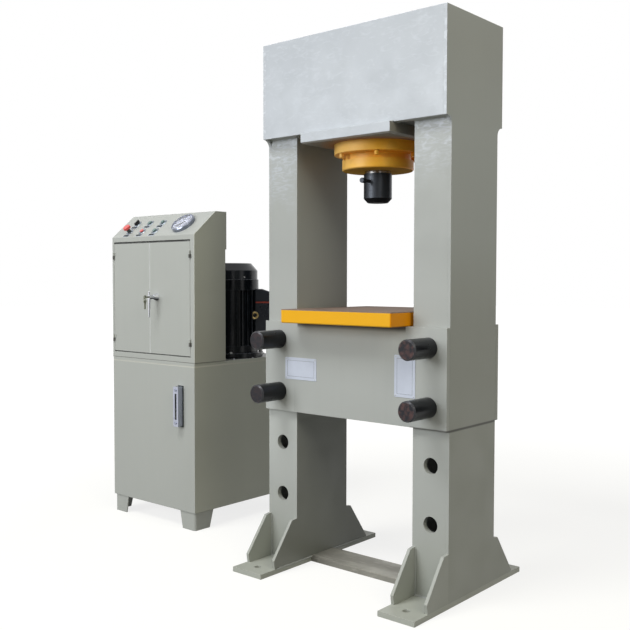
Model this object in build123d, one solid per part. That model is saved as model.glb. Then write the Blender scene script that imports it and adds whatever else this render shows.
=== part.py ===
from build123d import *
import os
from math import atan2, cos, degrees, radians, sin

# Hydraulic press with a pinned table and a separate power unit, in millimetres.
# Origin on the floor under the ram, +X to the right seen from the front, -Y to the front, +Z up.

# Driving dimensions of the press frame
frame_half_width = 410.0
column_width = 145.0
column_half_depth = 152.0
side_plate_t = 12.0
column_plate_t = 20.0
frame_height = 1990.0
crown_height = 355.0
crown_plate_t = 32.0
crown_cover_t = 12.0
crown_floor_t = 20.0
crown_fillet = 31.0
same_place = 0.01

# Feet
base_plate_t = 18.0
base_plate_half_depth = 352.0
anchor_hole_r = 13.5
anchor_edge = 61.0
foot_ledge_y = 180.0
foot_ledge_z = 182.0
foot_ledge_drop = 4.0
foot_toe_y = 280.0
foot_toe_height = 32.0
foot_toe_undercut = 5.0
rear_ledge_z = 170.0
rear_toe_y = 286.0
rear_toe_height = 6.0
tie_bar_half_depth = 68.0
tie_bar_t = 22.0

# Table and pins
table_top_z = 940.0
table_height = 342.0
table_plate_t = 18.0
table_clearance = 1.0
core_side_clearance = 2.0
core_top_t = 40.0
core_plate_t = 25.0
core_rib_x = 88.0
bolster_side_gap = 17.0
bolster_half_depth = 262.0
bolster_t = 50.0
bolster_chamfer = 3.0
pin_hole_d = 56.0
pin_fit = 0.05
pin_pitch = 200.0
pin_hole_count = 4
lowest_hole_z = 272.0
pin_head_d = 70.0
pin_head_length = 129.0
pin_head_chamfer = 5.0
pin_tail = 19.0
pin_tail_chamfer = 6.0

# Cylinder
seat_half_width = 200.0
seat_half_depth = 206.0
seat_t = 40.0
seat_chamfer = 6.0
barrel_r = 120.0
bore_r = 80.0
barrel_clearance = 0.3
thrust_flange_r = 161.5
thrust_flange_t = 38.0
neck_height = 23.0
gland_r = 132.0
gland_t = 35.0
gland_chamfer = 4.0
gland_spigot = 28.0
rod_r = 48.0
running_fit = 0.05
barrel_cap_t = 37.0
barrel_top_gap = 3.0
piston_t = 70.0
piston_top_gap = 3.0
rod_show = 10.0
nose_r = 52.0
nose_height = 106.0
nose_chamfer_w = 14.0
nose_chamfer_h = 15.0
spigot_r = 30.0
spigot_length = 56.0
nose_screw_r = 6.0
nose_screw_head_r = 9.0
nose_screw_head = 20.0
nose_screw_reach = 99.0
nose_screw_drop = 30.0
bolt_circle_r = 149.0
bolt_count = 6
bolt_start_deg = 4.5
bolt_r = 5.0
bolt_head_r = 8.5
bolt_head_h = 16.0
bolt_bite = 25.0
bolt_fit = 0.2

# Port fittings of the cylinder
port_r = 7.0
fitting_r = 12.0
fitting_shank_r = 13.5
fitting_hex_r = 17.0
fitting_hex_t = 14.0
fitting_stub = 24.0
port_overrun = 5.0
fitting_window_r = 22.0

# Tank
unit_right_x = -904.0
unit_width = 577.0
unit_front_y = -99.0
tank_depth = 600.0
tank_floor_z = 78.0
tank_side_inset = 2.5
tank_cover_z = 720.0
tank_cover_t = 14.0
tank_wall = 4.0
foot_inset = 4.0
foot_angle_t = 5.0
foot_fold_r = 12.0
foot_front_top = 98.0
foot_front_bottom = 82.0
foot_side_top = 108.0
foot_side_bottom = 86.0

# Level gauge on the tank
level_inset = 93.0
level_width = 32.0
level_rise = 376.0
level_height = 176.0
level_depth = 30.0
level_window_w = 12.0
level_window_margin = 31.0
level_glass_fit = 0.3
level_screw_r = 5.5
level_screw_head = 3.0
level_corner_r = 5.0
level_glass_inset = 3.0

# Control cabinet
cabinet_depth = 183.0
cabinet_front_height = 560.0
cabinet_slope_rise = 106.0
cabinet_slope_run = 125.5
sheet_t = 2.0
door_left_margin = 12.5
door_right_margin = 28.0
door_bottom_margin = 26.0
door_top_margin = 23.0
door_gap = 1.5
door_end_gap = 3.0
door_split = 262.0
door_depth = 15.0
stop_width = 14.0
stop_gap = 0.4
rear_cover_t = 7.0
rear_cover_height = 167.0
rear_frame = 12.0

# Hinges and lock
hinge_pin_r = 2.0
hinge_knuckle_r = 4.2
hinge_stand_off = 4.5
hinge_length = 32.0
hinge_leaf_w = 9.0
hinge_leaf_t = 1.5
hinge_inset = 63.0
hinge_play = 0.3
lock_inset = 50.5
lock_rise = 260.0
rosette_r = 16.0
rosette_t = 3.0
lock_neck_r = 10.0
lock_neck = 22.0
lock_body_r = 9.0
plug_r = 5.0
hub_gap = 0.3
hub_root_r = 8.5
hub_r = 9.5
hub_front = 47.5
lever_t = 6.0
lever_up = 25.0
lever_down = 90.0
lever_root_w = 12.5
lever_tip_w = 6.0
lever_edge = 1.0
cam_width = 14.0
cam_length = 66.0
cam_t = 3.0
cam_gap = 0.6
key_t = 2.4
key_blade_w = 7.0
key_blade_length = 16.0
key_bow_r = 8.0
key_hole_r = 3.0
key_edge = 2.5
key_neck = 12.0
ring_r = 8.0
ring_wire_r = 0.9
ring_sag = 0.2
spare_key_length = 43.0
spare_key_shift = 2.5

# Device plate inside the cabinet
device_plate_t = 3.0
device_stand_off = 6.0
device_plate_margin = 34.0
device_plate_bottom = 50.0
device_plate_height = 400.0
rail_height = 35.0
rail_depth = 7.0
rail_lower = 90.0
rail_pitch = 130.0
device_edge = 20.0
device_post_r = 6.0
first_device = 40.0
device_spacing = 9.0
transformer = (80.0, 80.0, 50.0)
breaker = (54.0, 85.0, 72.0)
contactor = (45.0, 78.0, 88.0)
relay = (24.0, 70.0, 62.0)
overload = (45.0, 60.0, 60.0)
terminal_strip = (180.0, 42.0, 40.0)
device_rows = (
    (terminal_strip, relay, relay),
    (breaker, contactor, contactor, overload),
    (transformer, relay, relay, breaker),
)

# Panel controls, measured along the slope from its lower edge
control_inset = 95.0
control_pitch = 92.0
control_column_count = 3
control_rows = (38.0, 100.0)
bezel_r = 14.5
bezel_t = 4.0
control_hole_r = 11.2
bezel_tube_r = 11.0
button_r = 9.3
button_fit = 0.2
button_height = 9.0
button_skirt = 6.0
tube_depth = 12.0
nut_r = 14.0
nut_t = 6.0
contact_block = 28.0
contact_depth = 40.0
mushroom_r = 18.0
mushroom_t = 12.0
mushroom_height = 34.0
mushroom_round = 4.0
button_chamfer = 1.0
selector_collar_gap = 1.0
selector_collar_t = 4.0
selector_collar_r = 13.5
handle_length = 32.0
handle_width = 8.0
handle_height = 6.0
handle_round = 3.0

# Pressure gauge
gauge_inset = 133.0
gauge_s = 76.0
gauge_r = 57.0
gauge_t = 17.0
dial_r = 50.0
dial_depth = 9.0
gauge_can_r = 47.0
gauge_can_depth = 42.0
gauge_can_fit = 1.0
gauge_stem_r = 7.0
gauge_stem = 22.0
glass_t = 2.0
glass_inset = 1.5
needle_t = 1.2
needle_length = 38.0
needle_width = 3.0
needle_tail = 12.0
needle_hub_r = 4.0
needle_post_r = 1.5
needle_post = 3.0
needle_lift = 1.0
needle_hub_t = 2.2
needle_zero_deg = 135.0
gauge_chamfer = 3.0

# Motor, standing on the tank cover behind the cabinet
motor_inset = 161.0
motor_set_back = 191.0
motor_flange_r = 151.5
motor_flange_t = 14.0
mount_ring_r = 149.0
mount_ring_t = 9.0
motor_foot_r = 126.0
motor_foot_t = 33.0
motor_core_r = 113.0
motor_fin_r = 127.0
motor_fin_t = 4.0
motor_fin_count = 28
motor_fin_root = 3.0
motor_body_height = 260.0
motor_band_r = 130.0
motor_band_t = 48.0
motor_wall_r = 75.0
fan_cover_r = 125.0
fan_cover_side = 43.0
fan_cover_height = 77.0
fan_cover_top_r = 95.0
fan_cover_wall = 2.5
vent_count = 12
vent_width = 7.0
vent_inner = 30.0
vent_outer = 78.0
shaft_r = 19.0
rotor_air_gap = 1.0
rotor_length = 210.0
fan_r = 98.0
fan_height = 34.0
fan_blade_t = 4.0
fan_blade_count = 8
fan_hub_r = 26.0
fan_disc_t = 3.0
fan_gap = 6.0
shaft_tip_r = 14.0
box_turn_deg = 45.0
box_seat = 105.0
box_reach = 215.0
box_half_width = 50.0
box_rise = 66.0
box_lower_height = 131.0
box_upper_height = 67.0
box_seal_t = 9.0
box_seal_inset = 2.0
box_lid_flat = 43.0
box_lid_slope = 24.0
box_lid_edge = 4.0
gland_nut_r = 19.0
gland_nut_t = 12.0
gland_bore_r = 9.0
gland_nut_drop = 56.0
gland_nut_side = 103.5
gland_nut_room = 3.0

# Pump under the cover
bell_r = 75.0
bell_length = 110.0
bell_bore_r = 55.0
pump_half = 52.0
pump_length = 120.0
suction_r = 20.0
suction_length = 180.0
strainer_r = 45.0
strainer_length = 110.0
coupling_r = 34.0
coupling_length = 60.0
coupling_gap = 0.5
bell_floor_t = 8.0
pump_shaft_r = 10.0
pump_shaft_show = 12.0

# Valve block, solenoid valve and breather cap on the cover
valve_inset = 151.0
valve_set_back = 126.0
valve_block_w = 140.0
valve_block_d = 120.0
valve_block_h = 100.0
valve_port_r = 9.0
valve_port_depth = 30.0
valve_port_pitch = 60.0
valve_block_chamfer = 3.0
solenoid_body_l = 90.0
solenoid_body_w = 46.0
solenoid_body_h = 44.0
solenoid_coil_r = 21.0
solenoid_coil_l = 58.0
solenoid_cap_r = 8.0
solenoid_cap_l = 14.0
breather_inset = 57.0
breather_back = 81.0
breather_r = 36.0
breather_h = 52.0
breather_neck_r = 20.0
breather_neck = 24.0
breather_grip = 4.0

# Worked out from the driving dimensions
column_inner_x = frame_half_width - column_width
pin_x = frame_half_width - column_width / 2
side_inner_x = frame_half_width - side_plate_t
crown_half_depth = column_half_depth + crown_plate_t
crown_bottom_z = frame_height - crown_height
crown_cover_z = frame_height - crown_cover_t
anchor_y = base_plate_half_depth - anchor_edge
table_bottom_z = table_top_z - table_height
bolster_half_width = column_inner_x - bolster_side_gap
table_back = column_half_depth + table_clearance
table_face = table_back + table_plate_t
pin_r = pin_hole_d / 2 - pin_fit
hole_levels = [lowest_hole_z + pin_pitch * i for i in range(pin_hole_count)]
pin_levels = {"lower": hole_levels[-2], "upper": hole_levels[-1]}
seat_bottom_z = crown_bottom_z - seat_t
flange_bottom_z = seat_bottom_z - thrust_flange_t
gland_top_z = flange_bottom_z - neck_height
gland_bottom_z = gland_top_z - gland_t
barrel_top_z = crown_cover_z - barrel_top_gap
bore_top_z = barrel_top_z - barrel_cap_t
piston_top_z = bore_top_z - piston_top_gap
piston_bottom_z = piston_top_z - piston_t
nose_top_z = gland_bottom_z - rod_show
nose_bottom_z = nose_top_z - nose_height
nose_screw_z = nose_top_z - nose_screw_drop
lower_port_z = seat_bottom_z - thrust_flange_t / 2
upper_port_z = bore_top_z - piston_top_gap - port_r
unit_left_x = unit_right_x - unit_width
tank_left_x = unit_left_x + tank_side_inset
tank_right_x = unit_right_x - tank_side_inset
tank_back_y = unit_front_y + tank_depth
cabinet_z = tank_cover_z + tank_cover_t
cabinet_back_y = unit_front_y + cabinet_depth
cabinet_edge_z = cabinet_z + cabinet_front_height
cabinet_top_z = cabinet_edge_z + cabinet_slope_rise
slope_top_y = unit_front_y + cabinet_slope_run
opening_left_x = unit_left_x + door_left_margin
opening_right_x = unit_right_x - door_right_margin
opening_bottom_z = cabinet_z + door_bottom_margin
opening_top_z = cabinet_edge_z - door_top_margin
seam_x = opening_left_x + door_split
door_back_y = unit_front_y + door_depth
hinge_y = unit_front_y - hinge_stand_off
hinge_levels = (opening_bottom_z + hinge_inset, opening_top_z - hinge_inset)
lock_x = seam_x + lock_inset
lock_z = opening_bottom_z + lock_rise
key_hole_up = key_bow_r - key_edge - key_hole_r
level_x = unit_right_x - level_inset
level_bottom_z = tank_floor_z + level_rise
control_columns = [
    unit_left_x + control_inset + control_pitch * i for i in range(control_column_count)
]
gauge_x = unit_right_x - gauge_inset
valve_x = unit_left_x + valve_inset
valve_y = cabinet_back_y + valve_set_back
breather_x = unit_left_x + breather_inset
breather_y = tank_back_y - breather_back
slope_deg = degrees(atan2(cabinet_slope_rise, cabinet_slope_run))
panel_plane = Plane(
    origin=(0, unit_front_y, cabinet_edge_z),
    x_dir=(1, 0, 0),
    z_dir=(0, -sin(radians(slope_deg)), cos(radians(slope_deg))),
)
motor_x = unit_right_x - motor_inset
motor_y = cabinet_back_y + motor_set_back
motor_ring_z = cabinet_z + mount_ring_t
motor_foot_z = motor_ring_z + motor_flange_t
motor_core_z = motor_foot_z + motor_foot_t
motor_band_z = motor_core_z + motor_body_height
box_bottom_z = motor_core_z + box_rise
box_split_z = box_bottom_z + box_lower_height
box_top_z = box_split_z + box_upper_height
gland_x = box_reach - gland_nut_side
gland_z = box_split_z - gland_nut_drop
motor_top_z = motor_band_z + motor_band_t
fan_z = motor_top_z + fan_gap
fan_cover_top_z = motor_top_z + fan_cover_height
bell_bottom_z = tank_cover_z - bell_length


# Helpers
def near(a, b):
    """True where two places are the same."""
    return abs(a - b) < same_place


def block(x0, x1, y0, y1, z0, z1):
    """A box between two corners."""
    middle = Pos((x0 + x1) / 2, (y0 + y1) / 2, (z0 + z1) / 2)
    return middle * Box(abs(x1 - x0), abs(y1 - y0), abs(z1 - z0))


def post(x, y, z0, z1, r):
    """A round bar along Z."""
    return Pos(x, y, (z0 + z1) / 2) * Cylinder(r, abs(z1 - z0))


def bar_y(x, z, y0, y1, r):
    """A round bar along Y."""
    return Pos(x, (y0 + y1) / 2, z) * Rot(90, 0, 0) * Cylinder(r, abs(y1 - y0))


def bar_x(y, z, x0, x1, r):
    """A round bar along X."""
    return Pos((x0 + x1) / 2, y, z) * Rot(0, 90, 0) * Cylinder(r, abs(x1 - x0))


def turned(points, x=0.0, y=0.0):
    """A body turned about a vertical axis from (radius, z) points."""
    face = make_face(Plane.XZ * Polyline(*points, close=True))
    return Pos(x, y, 0) * revolve(face, Axis.Z)


def plate_yz(edges, x0, x1):
    """A plate cut to an outline in the YZ plane."""
    face = make_face(Plane.YZ.offset(x0) * edges)
    return extrude(face, x1 - x0, dir=(1, 0, 0))


def plate_xz(edges, y0, y1):
    """A plate cut to an outline in the XZ plane."""
    face = make_face(Plane.XZ.offset(-y0) * edges)
    return extrude(face, y1 - y0, dir=(0, 1, 0))


def mirrored_y(points):
    """The outline points followed by their mirror images, in walking order."""
    return points + [(-y, z) for y, z in reversed(points)]


def on_panel(x, s, shape):
    """Place a shape drawn at the panel's origin at a point of the sloped panel."""
    return panel_plane.location * Pos(x, s, 0) * shape


def disc(lift0, lift1, r):
    """A round bar standing on the panel between two heights over it."""
    return Pos(0, 0, (lift0 + lift1) / 2) * Cylinder(r, abs(lift1 - lift0))


# Press frame
def front_foot():
    """Outline of the flared foot in front, from the floor side up to the column."""
    return [
        (foot_toe_undercut - foot_toe_y, base_plate_t),
        (-foot_toe_y, base_plate_t + foot_toe_height),
        (-foot_ledge_y, foot_ledge_z),
        (-column_half_depth, foot_ledge_z + foot_ledge_drop),
    ]


def rear_foot():
    """Outline of the lower foot behind, from the column down to the floor side."""
    return [
        (column_half_depth, rear_ledge_z + foot_ledge_drop),
        (foot_ledge_y, rear_ledge_z),
        (rear_toe_y, base_plate_t + rear_toe_height),
        (rear_toe_y, base_plate_t),
    ]


def side_plate(x0, x1):
    """The outer plate, one profile from the crown down to the flared foot."""
    front = [
        (-column_half_depth, crown_bottom_z),
        (-crown_half_depth, crown_bottom_z),
        (-crown_half_depth, frame_height),
    ]
    outline = front_foot() + mirrored_y(front) + rear_foot()
    plate = plate_yz(Polyline(*outline, close=True), x0, x1)
    corners = [
        edge
        for edge in plate.edges().filter_by(Axis.X)
        if near(edge.center().Z, crown_bottom_z) and near(abs(edge.center().Y), column_half_depth)
    ]
    return fillet(corners, crown_fillet)


def inner_plate(x0, x1):
    """The column's inner plate, flared at the foot like the side plate."""
    outline = front_foot() + mirrored_y([(-column_half_depth, crown_cover_z)]) + rear_foot()
    return plate_yz(Polyline(*outline, close=True), x0, x1)


def column(side):
    """Front, inner and back plate of one column, drilled for the table pins."""
    x_in = side * column_inner_x
    x_web = side * (column_inner_x + side_plate_t)
    x_out = side * side_inner_x
    shape = inner_plate(min(x_in, x_web), max(x_in, x_web))
    for face in (-1, 1):
        y_out = face * column_half_depth
        y_in = face * (column_half_depth - column_plate_t)
        shape += block(x_web, x_out, y_out, y_in, base_plate_t, crown_cover_z)
    for level in hole_levels:
        shape -= bar_y(side * pin_x, level, -column_half_depth, column_half_depth, pin_hole_d / 2)
    return shape


def base_plate(side):
    shape = block(
        side * column_inner_x,
        side * frame_half_width,
        -base_plate_half_depth,
        base_plate_half_depth,
        0,
        base_plate_t,
    )
    for end in (-1, 1):
        shape -= post(side * pin_x, end * anchor_y, 0, base_plate_t, anchor_hole_r)
    return shape


def tie_bar():
    half = tie_bar_half_depth
    return block(-column_inner_x, column_inner_x, -half, half, 0, tie_bar_t)


def crown_wall(face):
    """Front (-1) or back (1) plate of the crown, the back one with a window for the hose fitting."""
    shape = block(
        -side_inner_x,
        side_inner_x,
        face * column_half_depth,
        face * crown_half_depth,
        crown_bottom_z,
        frame_height,
    )
    if face > 0:
        shape -= bar_y(0, upper_port_z, column_half_depth, crown_half_depth, fitting_window_r)
    return shape


def crown_top():
    return block(
        -side_inner_x,
        side_inner_x,
        -column_half_depth,
        column_half_depth,
        crown_cover_z,
        frame_height,
    )


def crown_floor():
    shape = block(
        -column_inner_x,
        column_inner_x,
        -column_half_depth,
        column_half_depth,
        crown_bottom_z,
        crown_bottom_z + crown_floor_t,
    )
    return shape - post(0, 0, crown_bottom_z, crown_bottom_z + crown_floor_t, barrel_r + barrel_clearance)


def bolt_places():
    """Centres of the flange bolts."""
    for i in range(bolt_count):
        angle = radians(bolt_start_deg + 360 / bolt_count * i)
        yield bolt_circle_r * cos(angle), bolt_circle_r * sin(angle)


def cylinder_seat():
    shape = block(
        -seat_half_width,
        seat_half_width,
        -seat_half_depth,
        seat_half_depth,
        seat_bottom_z,
        crown_bottom_z,
    )
    shape = chamfer(shape.edges().group_by(Axis.Z)[0], seat_chamfer)
    shape -= post(0, 0, seat_bottom_z, crown_bottom_z, barrel_r + barrel_clearance)
    for x, y in bolt_places():
        shape -= post(x, y, seat_bottom_z, seat_bottom_z + bolt_bite, bolt_r + bolt_fit)
    return shape


# Table
def table_cheek(face):
    """Front (-1) or back (1) plate of the table, carried by the pins."""
    shape = block(
        -frame_half_width,
        frame_half_width,
        face * table_back,
        face * table_face,
        table_bottom_z,
        table_top_z,
    )
    for side in (-1, 1):
        for level in pin_levels.values():
            shape -= bar_y(side * pin_x, level, face * table_back, face * table_face, pin_hole_d / 2)
    return shape


def table_core():
    """Top, bottom, end walls and ribs of the box between the two cheeks."""
    half = column_inner_x - core_side_clearance
    top_z = table_top_z - core_top_t
    bottom_z = table_bottom_z + core_plate_t
    shape = block(-half, half, -table_back, table_back, top_z, table_top_z)
    shape += block(-half, half, -table_back, table_back, table_bottom_z, bottom_z)
    for x in (-half + core_plate_t / 2, -core_rib_x, core_rib_x, half - core_plate_t / 2):
        shape += block(
            x - core_plate_t / 2, x + core_plate_t / 2, -table_back, table_back, bottom_z, top_z
        )
    return shape


def bolster():
    shape = block(
        -bolster_half_width,
        bolster_half_width,
        -bolster_half_depth,
        bolster_half_depth,
        table_top_z,
        table_top_z + bolster_t,
    )
    return chamfer(shape.edges(), bolster_chamfer)


def table_pin(side, level):
    """Round pin with a thicker head that stops on the front cheek."""
    x = side * pin_x
    head = bar_y(x, level, -table_face - pin_head_length, -table_face, pin_head_d / 2)
    head = chamfer(head.edges().group_by(Axis.Y)[0], pin_head_chamfer)
    shank = bar_y(x, level, -table_face, table_face + pin_tail, pin_r)
    shank = chamfer(shank.edges().group_by(Axis.Y)[-1], pin_tail_chamfer)
    return head + shank


# Cylinder and ram
def barrel():
    """Barrel with its thrust flange below the seat and a closed top."""
    shape = turned(
        [
            (bore_r, gland_top_z),
            (barrel_r, gland_top_z),
            (barrel_r, flange_bottom_z),
            (thrust_flange_r, flange_bottom_z),
            (thrust_flange_r, seat_bottom_z),
            (barrel_r, seat_bottom_z),
            (barrel_r, barrel_top_z),
            (0, barrel_top_z),
            (0, bore_top_z),
            (bore_r, bore_top_z),
        ]
    )
    for x, y in bolt_places():
        shape -= post(x, y, flange_bottom_z, seat_bottom_z, bolt_r + bolt_fit)
    shape -= bar_y(0, lower_port_z, bore_r - port_overrun, thrust_flange_r, port_r)
    shape -= bar_y(0, upper_port_z, bore_r - port_overrun, barrel_r, port_r)
    return shape


def gland():
    """Flange that closes the barrel and guides the rod."""
    r = rod_r + running_fit
    return turned(
        [
            (r, gland_bottom_z),
            (gland_r - gland_chamfer, gland_bottom_z),
            (gland_r, gland_bottom_z + gland_chamfer),
            (gland_r, gland_top_z),
            (bore_r - running_fit, gland_top_z),
            (bore_r - running_fit, gland_top_z + gland_spigot),
            (r, gland_top_z + gland_spigot),
        ]
    )


def flange_bolts():
    """Hexagon bolts that hold the thrust flange up against the seat."""
    bolts = []
    for x, y in bolt_places():
        head = extrude(RegularPolygon(bolt_head_r, 6), bolt_head_h)
        head = Pos(x, y, flange_bottom_z - bolt_head_h) * head
        bolts.append(head + post(x, y, flange_bottom_z, seat_bottom_z + bolt_bite, bolt_r))
    return bolts


def fitting(z, seat_y, end_y):
    """Hose fitting screwed into a port of the cylinder, pointing to the back."""
    hexagon = extrude(RegularPolygon(fitting_hex_r, 6), fitting_hex_t)
    nut = Pos(0, seat_y, z) * Rot(-90, 0, 0) * hexagon
    tube = bar_y(0, z, seat_y, end_y - fitting_stub, fitting_shank_r)
    tube += bar_y(0, z, end_y - fitting_stub, end_y, fitting_r)
    return (nut + tube) - bar_y(0, z, seat_y, end_y, port_r)


def port_fittings():
    end_y = crown_half_depth + fitting_stub
    lower = fitting(lower_port_z, thrust_flange_r, end_y)
    upper = fitting(upper_port_z, barrel_r, end_y)
    return [lower, upper]


def ram():
    """Piston and rod, with the spigot that carries the nose."""
    return turned(
        [
            (0, nose_top_z - spigot_length),
            (spigot_r, nose_top_z - spigot_length),
            (spigot_r, nose_top_z),
            (rod_r, nose_top_z),
            (rod_r, piston_bottom_z),
            (bore_r - running_fit, piston_bottom_z),
            (bore_r - running_fit, piston_top_z),
            (0, piston_top_z),
        ]
    )


def nose():
    """Pressing head pushed over the rod's spigot, with a chamfered bottom."""
    r = spigot_r + running_fit
    shape = turned(
        [
            (0, nose_bottom_z),
            (nose_r - nose_chamfer_w, nose_bottom_z),
            (nose_r, nose_bottom_z + nose_chamfer_h),
            (nose_r, nose_top_z),
            (r, nose_top_z),
            (r, nose_top_z - spigot_length),
            (0, nose_top_z - spigot_length),
        ]
    )
    hole_end = port_overrun - spigot_r
    return shape - bar_y(0, nose_screw_z, -nose_r, hole_end, nose_screw_r + running_fit)


def nose_screw():
    """Screw from the front that clamps the nose on the spigot."""
    tip_y = -spigot_r - running_fit
    shank_end = -nose_screw_reach + nose_screw_head
    shape = bar_y(0, nose_screw_z, tip_y, shank_end, nose_screw_r)
    return shape + bar_y(0, nose_screw_z, shank_end, -nose_screw_reach, nose_screw_head_r)


# Tank
def tank_body():
    outer = block(tank_left_x, tank_right_x, unit_front_y, tank_back_y, tank_floor_z, tank_cover_z)
    inner = block(
        tank_left_x + tank_wall,
        tank_right_x - tank_wall,
        unit_front_y + tank_wall,
        tank_back_y - tank_wall,
        tank_floor_z + tank_wall,
        tank_cover_z,
    )
    return outer - inner


def tank_cover():
    shape = block(tank_left_x, tank_right_x, unit_front_y, tank_back_y, tank_cover_z, cabinet_z)
    shape -= post(motor_x, motor_y, tank_cover_z, cabinet_z, bell_r + barrel_clearance)
    shape -= post(breather_x, breather_y, tank_cover_z, cabinet_z, breather_neck_r + barrel_clearance)
    return shape


def tank_foot(x, y, dx, dy):
    """Tapered angle with a round fold under one corner of the tank."""
    front = plate_xz(
        Polyline(
            (0, 0),
            (foot_front_bottom, 0),
            (foot_front_top, tank_floor_z),
            (0, tank_floor_z),
            close=True,
        ),
        0,
        foot_angle_t,
    )
    side = plate_yz(
        Polyline(
            (0, 0),
            (foot_side_bottom, 0),
            (foot_side_top, tank_floor_z),
            (0, tank_floor_z),
            close=True,
        ),
        0,
        foot_angle_t,
    )
    corner = block(0, foot_fold_r, 0, foot_fold_r, 0, tank_floor_z)
    fold = post(foot_fold_r, foot_fold_r, 0, tank_floor_z, foot_fold_r)
    fold -= post(foot_fold_r, foot_fold_r, 0, tank_floor_z, foot_fold_r - foot_angle_t)
    shape = (front + side - corner) + (fold & corner)
    if dx < 0:
        shape = mirror(shape, Plane.YZ)
    if dy < 0:
        shape = mirror(shape, Plane.XZ)
    return Pos(x, y, 0) * shape


def tank_feet():
    """The four feet, set in a little from the tank's corners."""
    feet = []
    for x, dx in ((tank_left_x + foot_inset, 1), (tank_right_x - foot_inset, -1)):
        for y, dy in ((unit_front_y + foot_inset, 1), (tank_back_y - foot_inset, -1)):
            feet.append(tank_foot(x, y, dx, dy))
    return feet


def level_window():
    """Corners of the window in the level gauge's frame."""
    z0 = level_bottom_z + level_window_margin
    z1 = level_bottom_z + level_height - level_window_margin
    return level_x - level_window_w / 2, level_x + level_window_w / 2, z0, z1


def level_frame():
    front_y = unit_front_y - level_depth
    shape = block(
        level_x - level_width / 2,
        level_x + level_width / 2,
        front_y,
        unit_front_y,
        level_bottom_z,
        level_bottom_z + level_height,
    )
    shape = fillet(shape.edges().filter_by(Axis.Y), level_corner_r)
    x0, x1, z0, z1 = level_window()
    shape -= block(x0, x1, front_y, unit_front_y, z0, z1)
    for z in (z0 - level_window_margin / 2, z1 + level_window_margin / 2):
        shape += bar_y(level_x, z, front_y - level_screw_head, front_y, level_screw_r)
    return shape


def level_glass():
    x0, x1, z0, z1 = level_window()
    fit = level_glass_fit
    front_y = unit_front_y - level_depth + level_glass_inset
    return block(x0 + fit, x1 - fit, front_y, unit_front_y, z0 + fit, z1 - fit)


# Control cabinet
def cabinet_outline(inset):
    """Side view of the cabinet, drawn in by the sheet thickness where asked."""
    slope = radians(slope_deg)
    lift = inset * (1 - sin(slope)) / cos(slope)
    shift = inset * (1 - cos(slope)) / sin(slope)
    return [
        (unit_front_y + inset, cabinet_z),
        (unit_front_y + inset, cabinet_edge_z - lift),
        (slope_top_y + shift, cabinet_top_z - inset),
        (cabinet_back_y - inset, cabinet_top_z - inset),
        (cabinet_back_y - inset, cabinet_z),
    ]


def cabinet_shell():
    """Folded sheet shell, open below, with door and rear openings and panel holes."""
    shape = plate_yz(Polyline(*cabinet_outline(0), close=True), unit_left_x, unit_right_x)
    shape -= plate_yz(
        Polyline(*cabinet_outline(sheet_t), close=True), unit_left_x + sheet_t, unit_right_x - sheet_t
    )
    shape -= block(
        opening_left_x,
        opening_right_x,
        unit_front_y,
        unit_front_y + sheet_t,
        opening_bottom_z,
        opening_top_z,
    )
    shape -= block(
        unit_left_x + rear_frame,
        unit_right_x - rear_frame,
        cabinet_back_y - sheet_t,
        cabinet_back_y,
        cabinet_top_z - rear_cover_height + rear_frame,
        cabinet_top_z - rear_frame,
    )
    for x in control_columns:
        for s in control_rows:
            shape -= on_panel(x, s, disc(-2 * sheet_t, sheet_t, control_hole_r))
    shape -= on_panel(gauge_x, gauge_s, disc(-2 * sheet_t, sheet_t, gauge_can_r + gauge_can_fit))
    for z0, z1 in (
        (opening_bottom_z - stop_width / 2, opening_bottom_z + stop_width / 2),
        (opening_top_z - stop_width / 2, opening_top_z + stop_width / 2),
    ):
        y0 = door_back_y + stop_gap
        stop = block(unit_left_x + sheet_t, unit_right_x - sheet_t, y0, y0 + sheet_t, z0, z1)
        shape += stop
    return shape


def rear_cover():
    """Shallow folded cover over the rear opening."""
    z0 = cabinet_top_z - rear_cover_height
    y1 = cabinet_back_y + rear_cover_t
    shape = block(unit_left_x, unit_right_x, cabinet_back_y, y1, z0, cabinet_top_z)
    return shape - block(
        unit_left_x + sheet_t,
        unit_right_x - sheet_t,
        cabinet_back_y,
        y1 - sheet_t,
        z0 + sheet_t,
        cabinet_top_z - sheet_t,
    )


def hinge_x(side):
    """Axis of the left (-1) or right (1) door's hinges."""
    return opening_left_x if side < 0 else opening_right_x


def door(side):
    """Inset door pan with its half of each hinge, the right one drilled for the lock."""
    if side < 0:
        x0, x1 = opening_left_x + door_gap, seam_x - door_gap / 2
    else:
        x0, x1 = seam_x + door_gap / 2, opening_right_x - door_gap
    z0 = opening_bottom_z + door_end_gap
    z1 = opening_top_z - door_end_gap
    shape = block(x0, x1, unit_front_y, door_back_y, z0, z1)
    shape -= block(
        x0 + sheet_t,
        x1 - sheet_t,
        unit_front_y + sheet_t,
        door_back_y,
        z0 + sheet_t,
        z1 - sheet_t,
    )
    axis_x = hinge_x(side)
    for z in hinge_levels:
        top = z + hinge_length / 2
        leaf_x = axis_x - side * (hinge_leaf_w + door_gap)
        shape += block(axis_x, leaf_x, unit_front_y - hinge_leaf_t, unit_front_y, z + hinge_play, top)
        shape += post(axis_x, hinge_y, z + hinge_play, top, hinge_knuckle_r)
        shape -= post(axis_x, hinge_y, z + hinge_play, top, hinge_pin_r + running_fit)
    if side > 0:
        shape -= bar_y(lock_x, lock_z, unit_front_y, unit_front_y + sheet_t, lock_body_r + running_fit)
    return shape


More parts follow.
